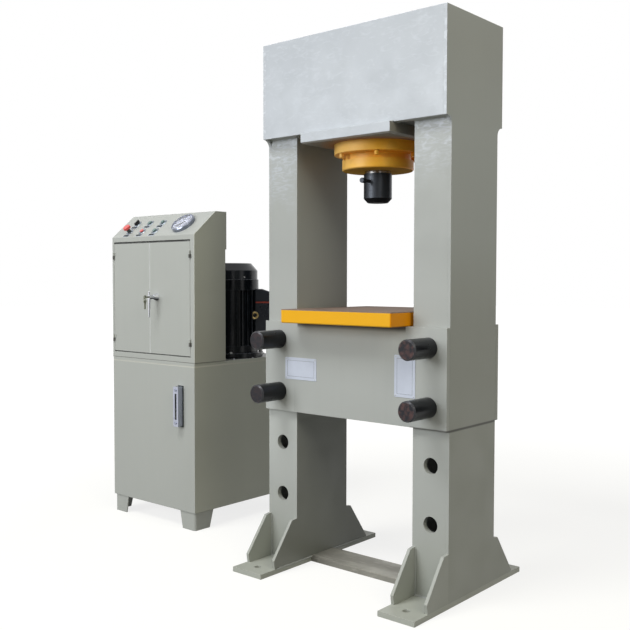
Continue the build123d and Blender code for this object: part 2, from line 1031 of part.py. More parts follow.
def door_hinges():
    """The fixed halves of the four hinges, each with its pin."""
    halves = []
    for side in (-1, 1):
        axis_x = hinge_x(side)
        leaf_x = axis_x + side * hinge_leaf_w
        for z in hinge_levels:
            z0 = z - hinge_length / 2
            half = post(axis_x, hinge_y, z0, z, hinge_knuckle_r)
            half += block(axis_x, leaf_x, unit_front_y - hinge_leaf_t, unit_front_y, z0, z)
            half += block(
                axis_x,
                axis_x + side * hinge_leaf_t,
                hinge_y,
                unit_front_y,
                z0,
                z,
            )
            halves.append(half + post(axis_x, hinge_y, z, z + hinge_length / 2, hinge_pin_r))
    return halves


def on_lock(shape):
    """Place a shape drawn with +Z out of the door and +Y up on the lock's axis."""
    return Pos(lock_x, unit_front_y, lock_z) * Rot(90, 0, 0) * shape


def door_lock():
    """Lock barrel through the right door, with a rosette that tapers to a neck."""
    bore_r = plug_r + running_fit
    return on_lock(
        turned(
            [
                (bore_r, -door_depth),
                (lock_body_r, -door_depth),
                (lock_body_r, 0),
                (rosette_r, 0),
                (rosette_r, rosette_t),
                (lock_neck_r, lock_neck),
                (bore_r, lock_neck),
            ]
        )
    )


def lever_half(length):
    """Half of the lever, from the hub to a round tip at the given height over the axis."""
    tip_y = length - lever_tip_w / 2
    outline = Polyline(
        (-lever_root_w / 2, 0),
        (lever_root_w / 2, 0),
        (lever_tip_w / 2, tip_y),
        (-lever_tip_w / 2, tip_y),
        close=True,
    )
    return make_face(outline) + Pos(0, tip_y) * Circle(lever_tip_w / 2)


def lock_handle():
    """Hub with a slim lever that hangs down."""
    back_z = lock_neck + hub_gap
    hub = turned([(0, back_z), (hub_root_r, back_z), (hub_r, hub_front), (0, hub_front)])
    outline = lever_half(lever_up) + Rot(0, 0, 180) * lever_half(lever_down)
    lever = Pos(0, 0, hub_front - lever_t) * extrude(outline, lever_t)
    lever = chamfer(lever.edges().group_by(Axis.Z)[-1], lever_edge)
    bore = Pos(0, 0, hub_front / 2) * Cylinder(plug_r + running_fit, hub_front + lever_t)
    return on_lock(hub + lever - bore)


def lock_cam():
    """Turning plug with the keyway and the cam behind the door."""
    cam_z = -door_depth - cam_gap
    half = cam_width / 2
    shape = Pos(0, 0, (cam_z + hub_front) / 2) * Cylinder(plug_r, hub_front - cam_z)
    shape += block(-half, half, -half, cam_length, cam_z - cam_t, cam_z)
    slot_t = key_t / 2 + running_fit
    slot_w = key_blade_w / 2 + running_fit
    slot = block(-slot_t, slot_t, -slot_w, slot_w, hub_front - key_blade_length, hub_front)
    return on_lock(shape - slot)


def key_plate(reach):
    """Flat key with a round bow at the origin and its blade pointing down."""
    bow = Rot(0, 90, 0) * Cylinder(key_bow_r, key_t)
    blade = block(-key_t / 2, key_t / 2, -key_blade_w / 2, key_blade_w / 2, -reach, 0)
    hole = Pos(0, 0, key_hole_up) * Rot(0, 90, 0) * Cylinder(key_hole_r, key_t)
    return bow + blade - hole


def lock_keys():
    """The key in the lock, and a spare one hanging from it on a wire ring."""
    bow_z = hub_front + key_neck + key_bow_r
    key = Pos(0, 0, bow_z) * key_plate(bow_z - hub_front + key_blade_length - running_fit)
    ring_z = bow_z + key_hole_up
    ring_y = ring_sag + ring_wire_r - key_hole_r - ring_r
    ring = Pos(0, ring_y, ring_z) * Torus(ring_r, ring_wire_r)
    hang_y = ring_y - ring_r - ring_wire_r + key_hole_r - ring_sag
    spare = Rot(-90, 0, 0) * key_plate(spare_key_length - key_bow_r)
    spare = Pos(spare_key_shift, hang_y - key_hole_up, ring_z) * spare
    return [on_lock(key), on_lock(ring), on_lock(spare)]


def device_plate():
    """Mounting plate on stand-offs, with two rails of switchgear and a terminal strip."""
    x0 = unit_left_x + device_plate_margin
    x1 = unit_right_x - device_plate_margin
    z0 = cabinet_z + device_plate_bottom
    z1 = z0 + device_plate_height
    back_y = cabinet_back_y - sheet_t
    plate_y = back_y - device_stand_off
    face_y = plate_y - device_plate_t
    shape = block(x0, x1, face_y, plate_y, z0, z1)
    for x in (x0 + device_edge, x1 - device_edge):
        for z in (z0 + device_edge, z1 - device_edge):
            shape += bar_y(x, z, plate_y, back_y, device_post_r)
    rail_y = face_y - rail_depth
    for row, devices in enumerate(device_rows):
        z = z0 + rail_lower + rail_pitch * row
        half = rail_height / 2
        shape += block(x0 + device_edge, x1 - device_edge, rail_y, face_y, z - half, z + half)
        x = x0 + first_device
        for width, height, depth in devices:
            shape += block(x, x + width, rail_y - depth, rail_y, z - height / 2, z + height / 2)
            x += width + device_spacing
    return shape


# Panel controls
def control_bezel():
    """Front ring, threaded tube, nut and contact block of one control, at the panel's origin."""
    shape = disc(0, bezel_t, bezel_r) + disc(-tube_depth, 0, bezel_tube_r)
    shape += disc(-sheet_t - nut_t, -sheet_t, nut_r)
    bottom = -tube_depth
    half = contact_block / 2
    shape += Pos(0, 0, (bottom - contact_depth) / 2) * Box(2 * half, 2 * half, contact_depth + bottom)
    return shape - disc(bottom, bezel_t, button_r + button_fit)


def control_places():
    """Panel places of the six controls, by name."""
    left, middle, right = control_columns
    low, high = control_rows
    return {
        "emergency_stop_button": (left, low),
        "selector_switch": (left, high),
        "stop_button": (middle, low),
        "raise_button": (middle, high),
        "start_button": (right, low),
        "lower_button": (right, high),
    }


def control_bezels():
    return [on_panel(x, s, control_bezel()) for x, s in control_places().values()]


def push_button():
    cap = disc(-button_skirt, button_height, button_r)
    return chamfer(cap.edges().group_by(Axis.Z)[-1], button_chamfer)


def stop_mushroom():
    cap = disc(mushroom_height - mushroom_t, mushroom_height, mushroom_r)
    cap = fillet(cap.edges().group_by(Axis.Z)[-1], mushroom_round)
    return cap + disc(-button_skirt, mushroom_height - mushroom_t, button_r)


def selector():
    collar = bezel_t + selector_collar_gap
    collar_top = collar + selector_collar_t
    base = disc(-button_skirt, collar, button_r) + disc(collar, collar_top, selector_collar_r)
    grip = Pos(0, 0, collar_top + handle_height / 2) * Box(handle_width, handle_length, handle_height)
    return base + fillet(grip.edges().filter_by(Axis.Z), handle_round)


def panel_control(name):
    """One button, mushroom or selector at its place on the panel."""
    makers = {"emergency_stop_button": stop_mushroom, "selector_switch": selector}
    x, s = control_places()[name]
    return on_panel(x, s, makers.get(name, push_button)())


def gauge_case():
    """Bezel and can of the pressure gauge, with its dial in the pocket."""
    shape = disc(0, gauge_t, gauge_r)
    shape = chamfer(shape.edges().group_by(Axis.Z)[-1], gauge_chamfer)
    shape -= disc(gauge_t - dial_depth, gauge_t, dial_r)
    shape += disc(-gauge_can_depth, 0, gauge_can_r)
    shape += disc(-gauge_can_depth - gauge_stem, -gauge_can_depth, gauge_stem_r)
    shape += disc(gauge_t - dial_depth, gauge_t - dial_depth + needle_post, needle_post_r)
    return on_panel(gauge_x, gauge_s, shape)


def gauge_glass():
    top = gauge_t - glass_inset
    return on_panel(gauge_x, gauge_s, disc(top - glass_t, top, dial_r - running_fit))


def gauge_needle():
    """Needle that turns on the dial's post, drawn pointing at zero."""
    low = gauge_t - dial_depth + needle_lift
    high = low + needle_t
    arm_length = needle_length + needle_tail
    arm = Pos(0, (needle_length - needle_tail) / 2, (low + high) / 2)
    shape = arm * Box(needle_width, arm_length, needle_t)
    shape += disc(low, low + needle_hub_t, needle_hub_r)
    shape -= disc(low, low + needle_hub_t, needle_post_r + running_fit)
    return on_panel(gauge_x, gauge_s, Rot(0, 0, needle_zero_deg) * shape)


# Motor
def at_terminal_box(shape):
    """Turn a shape drawn beside the origin to the motor's terminal box side."""
    return Pos(motor_x, motor_y, 0) * Rot(0, 0, box_turn_deg) * shape


def motor_housing():
    """Finned stator housing with its mounting flange and upper end shield."""
    shape = turned(
        [
            (shaft_r + running_fit, motor_ring_z),
            (motor_flange_r, motor_ring_z),
            (motor_flange_r, motor_foot_z),
            (motor_foot_r, motor_foot_z),
            (motor_foot_r, motor_core_z),
            (motor_core_r, motor_core_z),
            (motor_core_r, motor_band_z),
            (motor_band_r, motor_band_z),
            (motor_band_r, motor_top_z),
            (shaft_r + running_fit, motor_top_z),
            (shaft_r + running_fit, motor_band_z),
            (motor_wall_r, motor_band_z),
            (motor_wall_r, motor_core_z),
            (shaft_r + running_fit, motor_core_z),
        ]
    )
    for i in range(motor_fin_count):
        fin = block(
            motor_core_r - motor_fin_root,
            motor_fin_r,
            -motor_fin_t / 2,
            motor_fin_t / 2,
            motor_core_z,
            motor_band_z,
        )
        shape += Rot(0, 0, 360 / motor_fin_count * (i + 0.5)) * fin
    half = box_half_width
    seat = block(box_seat, box_reach, -half, half, box_bottom_z, box_top_z)
    room = gland_nut_room
    seat += bar_y(gland_x, gland_z, -half - gland_nut_t - room, -half, gland_nut_r + room)
    return Pos(motor_x, motor_y, 0) * shape - at_terminal_box(seat)


def fan_cover():
    """Thin hood over the fan, with air slots in its top."""
    wall = fan_cover_wall
    shape = turned(
        [
            (fan_cover_r, motor_top_z),
            (fan_cover_r, motor_top_z + fan_cover_side),
            (fan_cover_top_r, fan_cover_top_z),
            (0, fan_cover_top_z),
            (0, fan_cover_top_z - wall),
            (fan_cover_top_r - wall / 2, fan_cover_top_z - wall),
            (fan_cover_r - wall, motor_top_z + fan_cover_side - wall / 2),
            (fan_cover_r - wall, motor_top_z),
        ]
    )
    for i in range(vent_count):
        slot = block(
            vent_inner,
            vent_outer,
            -vent_width / 2,
            vent_width / 2,
            fan_cover_top_z - 2 * wall,
            fan_cover_top_z,
        )
        shape -= Rot(0, 0, 360 / vent_count * i) * slot
    return Pos(motor_x, motor_y, 0) * shape


def terminal_box():
    """Cable box on the motor's side, with a sealed lid that slopes outward and one cable gland."""
    half = box_half_width
    lid_z = box_split_z + box_seal_t
    lid_outline = Polyline(
        (box_seat, lid_z),
        (box_reach, lid_z),
        (box_reach, box_top_z - box_lid_slope),
        (box_seat + box_lid_flat, box_top_z),
        (box_seat, box_top_z),
        close=True,
    )
    lid = plate_xz(lid_outline, -half, half)
    top_edges = lid.edges().filter_by(Plane.XZ).group_by(Axis.Z)[-2:]
    lid = chamfer([edge for group in top_edges for edge in group], box_lid_edge)
    inner = half - box_seal_inset
    shape = block(box_seat, box_reach, -half, half, box_bottom_z, box_split_z) + lid
    shape += block(box_seat, box_reach - box_seal_inset, -inner, inner, box_split_z, lid_z)
    shape += bar_y(gland_x, gland_z, -half - gland_nut_t, -half, gland_nut_r)
    shape -= bar_y(gland_x, gland_z, -half - gland_nut_t, -half, gland_bore_r)
    return at_terminal_box(shape)


def motor_rotor():
    """Rotor core on its shaft, which carries the coupling below and the fan above."""
    core_r = motor_wall_r - rotor_air_gap
    middle_z = (motor_core_z + motor_band_z) / 2
    coupling_low = bell_bottom_z + bell_floor_t + pump_shaft_show + coupling_gap
    coupling_top = coupling_low + coupling_length
    return turned(
        [
            (0, coupling_low),
            (coupling_r, coupling_low),
            (coupling_r, coupling_top),
            (shaft_r, coupling_top),
            (shaft_r, middle_z - rotor_length / 2),
            (core_r, middle_z - rotor_length / 2),
            (core_r, middle_z + rotor_length / 2),
            (shaft_r, middle_z + rotor_length / 2),
            (shaft_r, fan_z),
            (shaft_tip_r, fan_z),
            (shaft_tip_r, fan_z + fan_height),
            (0, fan_z + fan_height),
        ],
        motor_x,
        motor_y,
    )


def motor_fan():
    """Fan pressed on the shaft's upper end."""
    shape = post(0, 0, fan_z, fan_z + fan_height, fan_hub_r)
    shape += post(0, 0, fan_z, fan_z + fan_disc_t, fan_r)
    for i in range(fan_blade_count):
        blade = block(0, fan_r, -fan_blade_t / 2, fan_blade_t / 2, fan_z, fan_z + fan_height)
        shape += Rot(0, 0, 360 / fan_blade_count * i) * blade
    shape -= post(0, 0, fan_z, fan_z + fan_height, shaft_tip_r + running_fit)
    return Pos(motor_x, motor_y, 0) * shape


# Hydraulics on the tank
def pump():
    """Bell housing through the cover, with the gear pump and its strainer hanging below."""
    shape = turned(
        [
            (bell_bore_r, cabinet_z),
            (mount_ring_r, cabinet_z),
            (mount_ring_r, motor_ring_z),
            (bell_bore_r, motor_ring_z),
        ]
    )
    shape += turned(
        [
            (bell_bore_r, bell_bottom_z),
            (bell_r, bell_bottom_z),
            (bell_r, cabinet_z),
            (bell_bore_r, cabinet_z),
        ]
    )
    pump_z = bell_bottom_z - pump_length
    shape += block(-pump_half, pump_half, -pump_half, pump_half, pump_z, bell_bottom_z)
    floor_z = bell_bottom_z + bell_floor_t
    shape += post(0, 0, bell_bottom_z, floor_z, bell_r)
    shape += post(0, 0, floor_z, floor_z + pump_shaft_show, pump_shaft_r)
    shape += post(0, 0, pump_z - suction_length, pump_z, suction_r)
    shape += post(0, 0, pump_z - suction_length, pump_z - suction_length + strainer_length, strainer_r)
    return Pos(motor_x, motor_y, 0) * shape


def valve_block():
    """Drilled block that joins the pump, the valve and the two hoses."""
    x0 = valve_x - valve_block_w / 2
    x1 = valve_x + valve_block_w / 2
    y0 = valve_y - valve_block_d / 2
    y1 = valve_y + valve_block_d / 2
    z1 = cabinet_z + valve_block_h
    shape = block(x0, x1, y0, y1, cabinet_z, z1)
    shape = chamfer(shape.edges().group_by(Axis.Z)[-1], valve_block_chamfer)
    for i in (-0.5, 0.5):
        x = valve_x + valve_port_pitch * i
        shape -= bar_y(x, cabinet_z + valve_block_h / 2, y1 - valve_port_depth, y1, valve_port_r)
    return shape


def solenoid_valve():
    """Valve on the block, with a coil and a hand override at each end."""
    z0 = cabinet_z + valve_block_h
    z = z0 + solenoid_body_h / 2
    half = solenoid_body_l / 2
    shape = block(
        valve_x - half,
        valve_x + half,
        valve_y - solenoid_body_w / 2,
        valve_y + solenoid_body_w / 2,
        z0,
        z0 + solenoid_body_h,
    )
    for end in (-1, 1):
        coil_end = valve_x + end * (half + solenoid_coil_l)
        shape += bar_x(valve_y, z, valve_x + end * half, coil_end, solenoid_coil_r)
        shape += bar_x(valve_y, z, coil_end, coil_end + end * solenoid_cap_l, solenoid_cap_r)
    return shape


def breather_cap():
    """Filler and air cap in the tank cover, with a ribbed rim."""
    shape = post(breather_x, breather_y, cabinet_z, cabinet_z + breather_h, breather_r)
    shape = chamfer(shape.edges().group_by(Axis.Z)[-1], breather_grip)
    return shape + post(breather_x, breather_y, cabinet_z - breather_neck, cabinet_z, breather_neck_r)


def all_pieces():
    """Every node by name."""
    pieces = {
        "left_side_plate": side_plate(-frame_half_width, -side_inner_x),
        "right_side_plate": side_plate(side_inner_x, frame_half_width),
        "left_column": column(-1),
        "right_column": column(1),
        "base_plates": [base_plate(-1), base_plate(1)],
        "foot_tie_bar": tie_bar(),
        "crown_front_plate": crown_wall(-1),
        "crown_back_plate": crown_wall(1),
        "crown_top_plate": crown_top(),
        "crown_bottom_plate": crown_floor(),
        "cylinder_seat_plate": cylinder_seat(),
        "table_front_plate": table_cheek(-1),
        "table_back_plate": table_cheek(1),
        "table_core": table_core(),
        "bolster_plate": bolster(),
        "cylinder_barrel": barrel(),
        "gland_flange": gland(),
        "flange_bolts": flange_bolts(),
        "port_fittings": port_fittings(),
        "piston_rod": ram(),
        "ram_nose": nose(),
        "nose_screw": nose_screw(),
        "tank_body": tank_body(),
        "tank_cover": tank_cover(),
        "tank_feet": tank_feet(),
        "level_gauge_frame": level_frame(),
        "level_gauge_glass": level_glass(),
        "cabinet_shell": cabinet_shell(),
        "rear_cover": rear_cover(),
        "left_door": door(-1),
        "right_door": door(1),
        "door_hinges": door_hinges(),
        "door_lock": door_lock(),
        "lock_handle": lock_handle(),
        "lock_cam": lock_cam(),
        "lock_keys": lock_keys(),
        "device_plate": device_plate(),
        "control_bezels": control_bezels(),
        "gauge_case": gauge_case(),
        "gauge_glass": gauge_glass(),
        "gauge_needle": gauge_needle(),
        "motor_housing": motor_housing(),
        "fan_cover": fan_cover(),
        "terminal_box": terminal_box(),
        "motor_rotor": motor_rotor(),
        "motor_fan": motor_fan(),
        "pump": pump(),
        "valve_block": valve_block(),
        "solenoid_valve": solenoid_valve(),
        "breather_cap": breather_cap(),
    }
    for level_name, level in pin_levels.items():
        for side_name, side in (("left", -1), ("right", 1)):
            pieces[f"pin_{level_name}_{side_name}"] = table_pin(side, level)
    for name in control_places():
        pieces[name] = panel_control(name)
    return pieces


def main():
    os.makedirs("parts", exist_ok=True)
    for name, shape in all_pieces().items():
        solid = Compound(children=list(shape)) if isinstance(shape, list) else shape
        export_step(solid, f"parts/{name}.step")


main()
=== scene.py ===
from math import cos, pi, radians, sin

import bmesh
import bpy
from mathutils import Matrix, Vector


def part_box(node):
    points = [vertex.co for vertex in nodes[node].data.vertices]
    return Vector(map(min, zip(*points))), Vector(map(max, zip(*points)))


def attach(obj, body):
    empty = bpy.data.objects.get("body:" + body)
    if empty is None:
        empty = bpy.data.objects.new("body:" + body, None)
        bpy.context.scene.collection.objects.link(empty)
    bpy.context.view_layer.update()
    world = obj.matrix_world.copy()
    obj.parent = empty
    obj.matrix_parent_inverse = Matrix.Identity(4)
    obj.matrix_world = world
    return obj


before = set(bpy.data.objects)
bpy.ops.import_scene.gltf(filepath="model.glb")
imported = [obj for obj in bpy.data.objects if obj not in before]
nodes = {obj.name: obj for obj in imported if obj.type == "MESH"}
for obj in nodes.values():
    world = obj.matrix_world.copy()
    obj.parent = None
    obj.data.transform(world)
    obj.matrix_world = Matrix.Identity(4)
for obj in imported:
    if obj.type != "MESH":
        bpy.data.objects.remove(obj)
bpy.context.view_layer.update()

# Camera of the photograph, in metres and degrees
camera_place = Vector((1.9351, -2.6217, 1.0995))
camera_yaw = 40.518
camera_pitch = 2.331
camera_roll = 0.07
camera_lens = 49.88
sensor_width = 36.0

# Places and sizes shared by several pieces, in metres
plate_t = 0.0012
rivet_r = 0.0024
weld_r = 0.0045
slope_rise = 0.106
slope_run = 0.1255
near = 0.0005
crown_z = 1.635
seat_bottom_z = 1.595
gland_bottom_z = 1.499
table_top_z = 0.940
table_bottom_z = 0.598
tank_top_z = 0.734
crown_face_y = 0.184
seat_face_y = 0.206
column_face_y = 0.152
column_inner_x = 0.265
frame_side_x = 0.410
bolster_side_x = 0.248
unit_side_x = -0.9072
motor_axis = (-1.065, 0.275)
door_span = (-1.4685, -0.932)
door_seam = -1.2065
seam_half = 0.0026
door_face_y = -0.083
control_places = [(x, s) for x in (-1.386, -1.294, -1.202) for s in (0.038, 0.100)]
label_drop = 0.0275
gauge_place = (-1.037, 0.076, 0.0081)


class Graph:
    """Short calls that build one procedural material."""

    def __init__(self, name, metallic=0.0, roughness=0.5, **settings):
        self.material = bpy.data.materials.new(name)
        self.material.use_nodes = True
        self.tree = self.material.node_tree
        self.shader = self.tree.nodes["Principled BSDF"]
        self.set("Metallic", metallic)
        self.set("Roughness", roughness)
        for label, value in settings.items():
            self.set(label.replace("_", " "), value)

    def set(self, label, value):
        self.feed(self.shader.inputs[label], value)

    def feed(self, socket, value):
        if isinstance(value, bpy.types.NodeSocket):
            self.tree.links.new(value, socket)
        else:
            socket.default_value = value

    def add(self, kind, inputs, **attributes):
        node = self.tree.nodes.new(kind)
        for attribute, value in attributes.items():
            setattr(node, attribute, value)
        for label, value in inputs.items():
            self.feed(node.inputs[label], value)
        return node

    def place(self, stretch=None):
        """Position in the object's own frame, squeezed along the axes where asked."""
        socket = self.add("ShaderNodeTexCoord", {}).outputs["Object"]
        if stretch is None:
            return socket
        return self.add("ShaderNodeMapping", {"Vector": socket, "Scale": stretch}).outputs["Vector"]

    def axis(self, letter):
        return self.add("ShaderNodeSeparateXYZ", {"Vector": self.place()}).outputs[letter]

    def noise(self, scale, detail=4.0, stretch=None, distortion=0.0):
        inputs = {
            "Vector": self.place(stretch),
            "Scale": scale,
            "Detail": detail,
            "Distortion": distortion,
        }
        return self.add("ShaderNodeTexNoise", inputs).outputs["Fac"]

    def cells(self, scale, stretch=None):
        inputs = {"Vector": self.place(stretch), "Scale": scale}
        return self.add("ShaderNodeTexVoronoi", inputs).outputs["Distance"]

    def span(self, value, low, high, start=0.0, end=1.0):
        inputs = {"Value": value, "From Min": low, "From Max": high, "To Min": start, "To Max": end}
        return self.add("ShaderNodeMapRange", inputs).outputs["Result"]

    def calc(self, operation, a, b):
        return self.add("ShaderNodeMath", {0: a, 1: b}, operation=operation).outputs[0]

    def times(self, value, *others):
        """Product of two or more values."""
        for other in others:
            value = self.calc("MULTIPLY", value, other)
        return value

    def most(self, a, b):
        return self.calc("MAXIMUM", a, b)

    def above(self, value, limit):
        return self.calc("GREATER_THAN", value, limit)

    def below(self, value, limit):
        return self.calc("LESS_THAN", value, limit)

    def dot(self, a, b):
        node = self.add("ShaderNodeVectorMath", {0: a, 1: b}, operation="DOT_PRODUCT")
        return node.outputs["Value"]

    def from_centre(self):
        """Distance from the upright axis through the origin."""
        flat = self.place((1.0, 1.0, 0.0))
        return self.add("ShaderNodeVectorMath", {0: flat}, operation="LENGTH").outputs["Value"]

    def mix(self, factor, a, b):
        node = self.tree.nodes.new("ShaderNodeMix")
        node.data_type = "RGBA"
        self.feed(node.inputs["Factor"], factor)
        self.feed(node.inputs["A"], rgba(a))
        self.feed(node.inputs["B"], rgba(b))
        return node.outputs["Result"]

    def bump(self, height, distance, normal=None):
        inputs = {"Height": height, "Distance": distance}
        if normal is not None:
            inputs["Normal"] = normal
        return self.add("ShaderNodeBump", inputs).outputs["Normal"]

    def rounded(self, radius):
        """Normal that rounds the edges off, and a mask that is 1 along them."""
        bevel = self.add("ShaderNodeBevel", {"Radius": radius}, samples=4).outputs["Normal"]
        flat = self.add("ShaderNodeNewGeometry", {}).outputs["Normal"]
        return bevel, self.span(self.dot(bevel, flat), 0.995, 0.86)


def rgba(colour):
    """A colour socket as it is, or three numbers as an opaque colour."""
    return colour if isinstance(colour, bpy.types.NodeSocket) else (*colour, 1.0)


def shade(colour, factor):
    return tuple(min(channel * factor, 1.0) for channel in colour)


def panel_matrix(x, s, lift=0.0):
    """Frame on the sloped panel: local X along the press, Y up the slope, Z out."""
    low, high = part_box("cabinet_shell")
    length = (slope_rise ** 2 + slope_run ** 2) ** 0.5
    up = Vector((0, slope_run / length, slope_rise / length))
    out = Vector((0, -up.z, up.y))
    matrix = Matrix((Vector((1, 0, 0)), up, out)).transposed().to_4x4()
    matrix.translation = Vector((x, low.y, high.z - slope_rise)) + up * s + out * lift
    return matrix


# Materials
def silver(g):
    """Silvery enamel with soft brush marks, and painted shade darkening it towards the crown's top."""
    clouds = g.span(g.noise(11.0, 9.0, distortion=0.6), 0.3, 0.7)
    base = g.mix(clouds, shade(crown_silver, 0.95), shade(crown_silver, 1.07))
    # Painted shade: darker towards the crown's top.
    base = g.mix(g.span(g.axis("Z"), 1.74, 1.95, 0.0, 0.60), base, shade(crown_silver, 0.82))
    marks = g.noise(46.0, 8.0, stretch=(0.45, 1.0, 1.2), distortion=1.5)
    return g.mix(g.span(marks, 0.52, 0.70, 0.0, 0.40), base, shade(crown_silver, 1.18))


def band(g, letter, low, high, soft=0.0008):
    """1 between two places on an axis, 0 outside them."""
    place = g.axis(letter)
    return g.times(g.span(place, low - soft, low), g.span(place, high + soft, high))


def front_faces(g, crown_y, lower_y):
    """1 on the front faces that lie at one depth beside the crown and at another below it."""
    limit = g.span(g.axis("Z"), crown_z - 0.001, crown_z, near - lower_y, near - crown_y)
    return g.below(g.axis("Y"), limit)


def crown_front(g, _):
    """Silver on the front faces, plain grey behind them, and on the seat painted shade in brown and a
    painted orange reflection of the cylinder.
    """
    plain = g.mix(g.noise(2.3, 5.0), shade(frame_grey, 0.95), shade(frame_grey, 1.05))
    seat = g.below(g.axis("Z"), crown_z - near)
    # Painted shade: the seat's underside and ends darkened to brown.
    plain = g.mix(g.times(seat, 0.70), plain, seat_shade_brown)
    # Painted reflection: orange from the cylinder, strongest next to it.
    reflected_orange = g.times(seat, g.span(g.from_centre(), 0.225, 0.165, 0.0, 0.75))
    plain = g.mix(reflected_orange, plain, cylinder_reflection_orange)
    return g.mix(front_faces(g, crown_face_y, seat_face_y), plain, silver(g))


def overspray_and_painted_shading(g, base):
    """The crown's silver on front faces: whole beside the crown, in strokes and dabs below it; painted
    shade on the fronts above the table and painted light on the left front under it.
    """
    height = g.axis("Z")
    front = front_faces(g, crown_face_y, column_face_y)
    # Painted shade: the front faces darker from just above the table top upwards.
    foot = g.span(height, table_top_z + near, table_top_z + 3 * near, 0.0, 0.45)
    column = g.most(foot, g.span(height, 0.95, 1.20, 0.0, 0.9))
    base = g.mix(g.times(front, column), frame_tint_and_painted_shading(g, base), shade(frame_grey, 0.84))
    # Painted light: the left front under the table made lighter.
    left = g.below(g.axis("X"), 2 * near - column_inner_x)
    leg = g.times(left, band(g, "Z", 0.45, table_bottom_z - 0.001, 0.15))
    base = g.mix(g.times(front, leg), base, shade(frame_grey, 1.17))
    uneven = g.span(g.noise(9.0, 6.0, stretch=(1.0, 1.0, 0.5)), 0.3, 0.7, -0.12, 0.12)
    strokes = g.noise(52.0, 9.0, stretch=(0.30, 1.0, 1.2), distortion=2.0)
    strokes = g.span(strokes, 0.48, 0.60, 0.30, 1.0)
    fade = g.times(g.span(g.calc("ADD", height, uneven), 1.36, crown_z), strokes)
    fade = g.most(fade, g.span(height, crown_z - 0.001, crown_z))
    base = g.mix(g.times(front, fade), base, silver(g))
    dabs = g.noise(34.0, 9.0, stretch=(0.6, 1.0, 1.0), distortion=1.2)
    dabs = g.times(g.span(dabs, 0.52, 0.64, 0.0, 0.65), g.span(height, 1.47, 1.61))
    return g.mix(g.times(front, dabs), base, shade(crown_silver, 1.30))


def frame_tint_and_painted_shading(g, base):
    """Darker, more olive paint towards the floor, and painted light and shade: darker inner faces,
    outer faces lighter high up and darker low down, and painted shadow under the bolster and the
    table's cheeks.
    """
    height = g.axis("Z")
    side = g.add("ShaderNodeMath", {0: g.axis("X")}, operation="ABSOLUTE").outputs[0]
    inside = g.below(side, column_inner_x + near)
    outside = g.above(side, frame_side_x - near)
    # Darker and more olive towards the floor.
    uneven = g.calc("ADD", height, g.span(g.noise(7.0, 6.0), 0.3, 0.7, -0.05, 0.05))
    base = g.mix(g.span(uneven, 0.32, 0.05, 0.0, 0.85), base, shade(base_grey, 0.84))
    # Painted shade on the inner faces, between the legs and between the columns above the table.
    between_legs = g.times(g.span(height, 0.60, 0.56), 0.65)
    between_columns = g.span(height, 1.60, 0.95, 0.04, 0.16)
    between_columns = g.times(g.above(height, table_top_z + near), between_columns)
    dim = g.times(inside, g.most(between_legs, between_columns))
    base = g.mix(dim, base, shade(base_grey, 0.40))
    # Painted light: the outer faces lighter high up.
    outer_upper_light = g.times(g.span(height, 0.95, 1.25), g.span(height, 1.90, 1.60, 0.0, 0.85))
    base = g.mix(g.times(outside, outer_upper_light), base, outer_lit_grey)
    # Painted shade: the outer faces behind the front darker low down.
    behind = g.above(g.axis("Y"), -column_face_y - near)
    outer_lower_shade = g.times(behind, g.span(height, 1.25, 0.55, 0.0, 0.55))
    base = g.mix(g.times(outside, outer_lower_shade), base, shade(base_grey, 0.72))
    # Painted shadow: dark bands just under the bolster and under the table's cheeks.
    under_bolster = band(g, "Z", table_top_z - 0.008, table_top_z + near, 0.014)
    under_bolster = g.times(g.below(side, bolster_side_x - 0.002), under_bolster, 0.97)
    under_cheek = band(g, "Z", table_bottom_z - 0.0035, table_bottom_z + near, 0.004)
    under_cheek = g.times(g.above(side, column_inner_x - near), under_cheek, 0.85)
    return g.mix(g.most(under_bolster, under_cheek), base, cast_shadow_black)


def unit_lines(g, base):
    """Painted light and shade on the unit's side by height and depth, painted highlights at the tank's
    top joint and the door seam, and painted shadow in the gaps round the doors and under the cabinet.
    """
    height = g.axis("Z")
    side = g.above(g.axis("X"), unit_side_x)
    cabinet = g.above(height, tank_top_z + near)
    tank = g.below(height, tank_top_z + near)
    # Painted light and shade: the side faces in a lit copy of the grey, lighter high up on the cabinet
    # and towards the back of the tank, darker low on the cabinet.
    base = g.mix(side, base, lit_side_grey)
    pale = g.times(cabinet, g.span(height, 1.05, 1.42, 0.0, 0.9))
    pale = g.most(pale, g.times(tank, g.span(g.axis("Y"), -0.02, 0.22, 0.0, 0.9)))
    base = g.mix(g.times(side, pale), base, lit_upper_grey)
    dull = g.times(cabinet, g.span(height, 1.02, 0.80, 0.0, 0.8))
    base = g.mix(g.times(side, dull), base, shaded_lower_grey)
    # Painted highlight: a pale line at the tank's top joint, stronger on the side.
    tank_edge_highlight = g.times(band(g, "Z", 0.7160, 0.7220), g.span(side, 0.0, 1.0, 0.45, 0.85))
    base = g.mix(tank_edge_highlight, base, tank_highlight_grey)
    # Painted shadow: a dark line in the gap under the cabinet.
    cabinet_gap_shadow = band(g, "Z", tank_top_z + near, tank_top_z + 0.0028)
    base = g.mix(g.times(cabinet_gap_shadow, 0.75), base, (0.10, 0.10, 0.085))
    doors = g.times(band(g, "X", *door_span), g.below(g.axis("Y"), door_face_y))
    # Painted highlight: a pale line along the seam between the doors.
    seam = band(g, "X", door_seam - seam_half, door_seam + seam_half)
    door_seam_highlight = g.times(doors, seam, band(g, "Z", 0.765, 1.266), 0.85)
    base = g.mix(door_seam_highlight, base, seam_highlight_grey)
    # Painted shadow: dark lines in the gaps at the doors' top and bottom.
    ends = g.most(band(g, "Z", 1.2646, 1.2726), band(g, "Z", 0.7602, 0.7642))
    return g.mix(g.times(doors, ends, 0.95), base, door_gap_shadow_black)


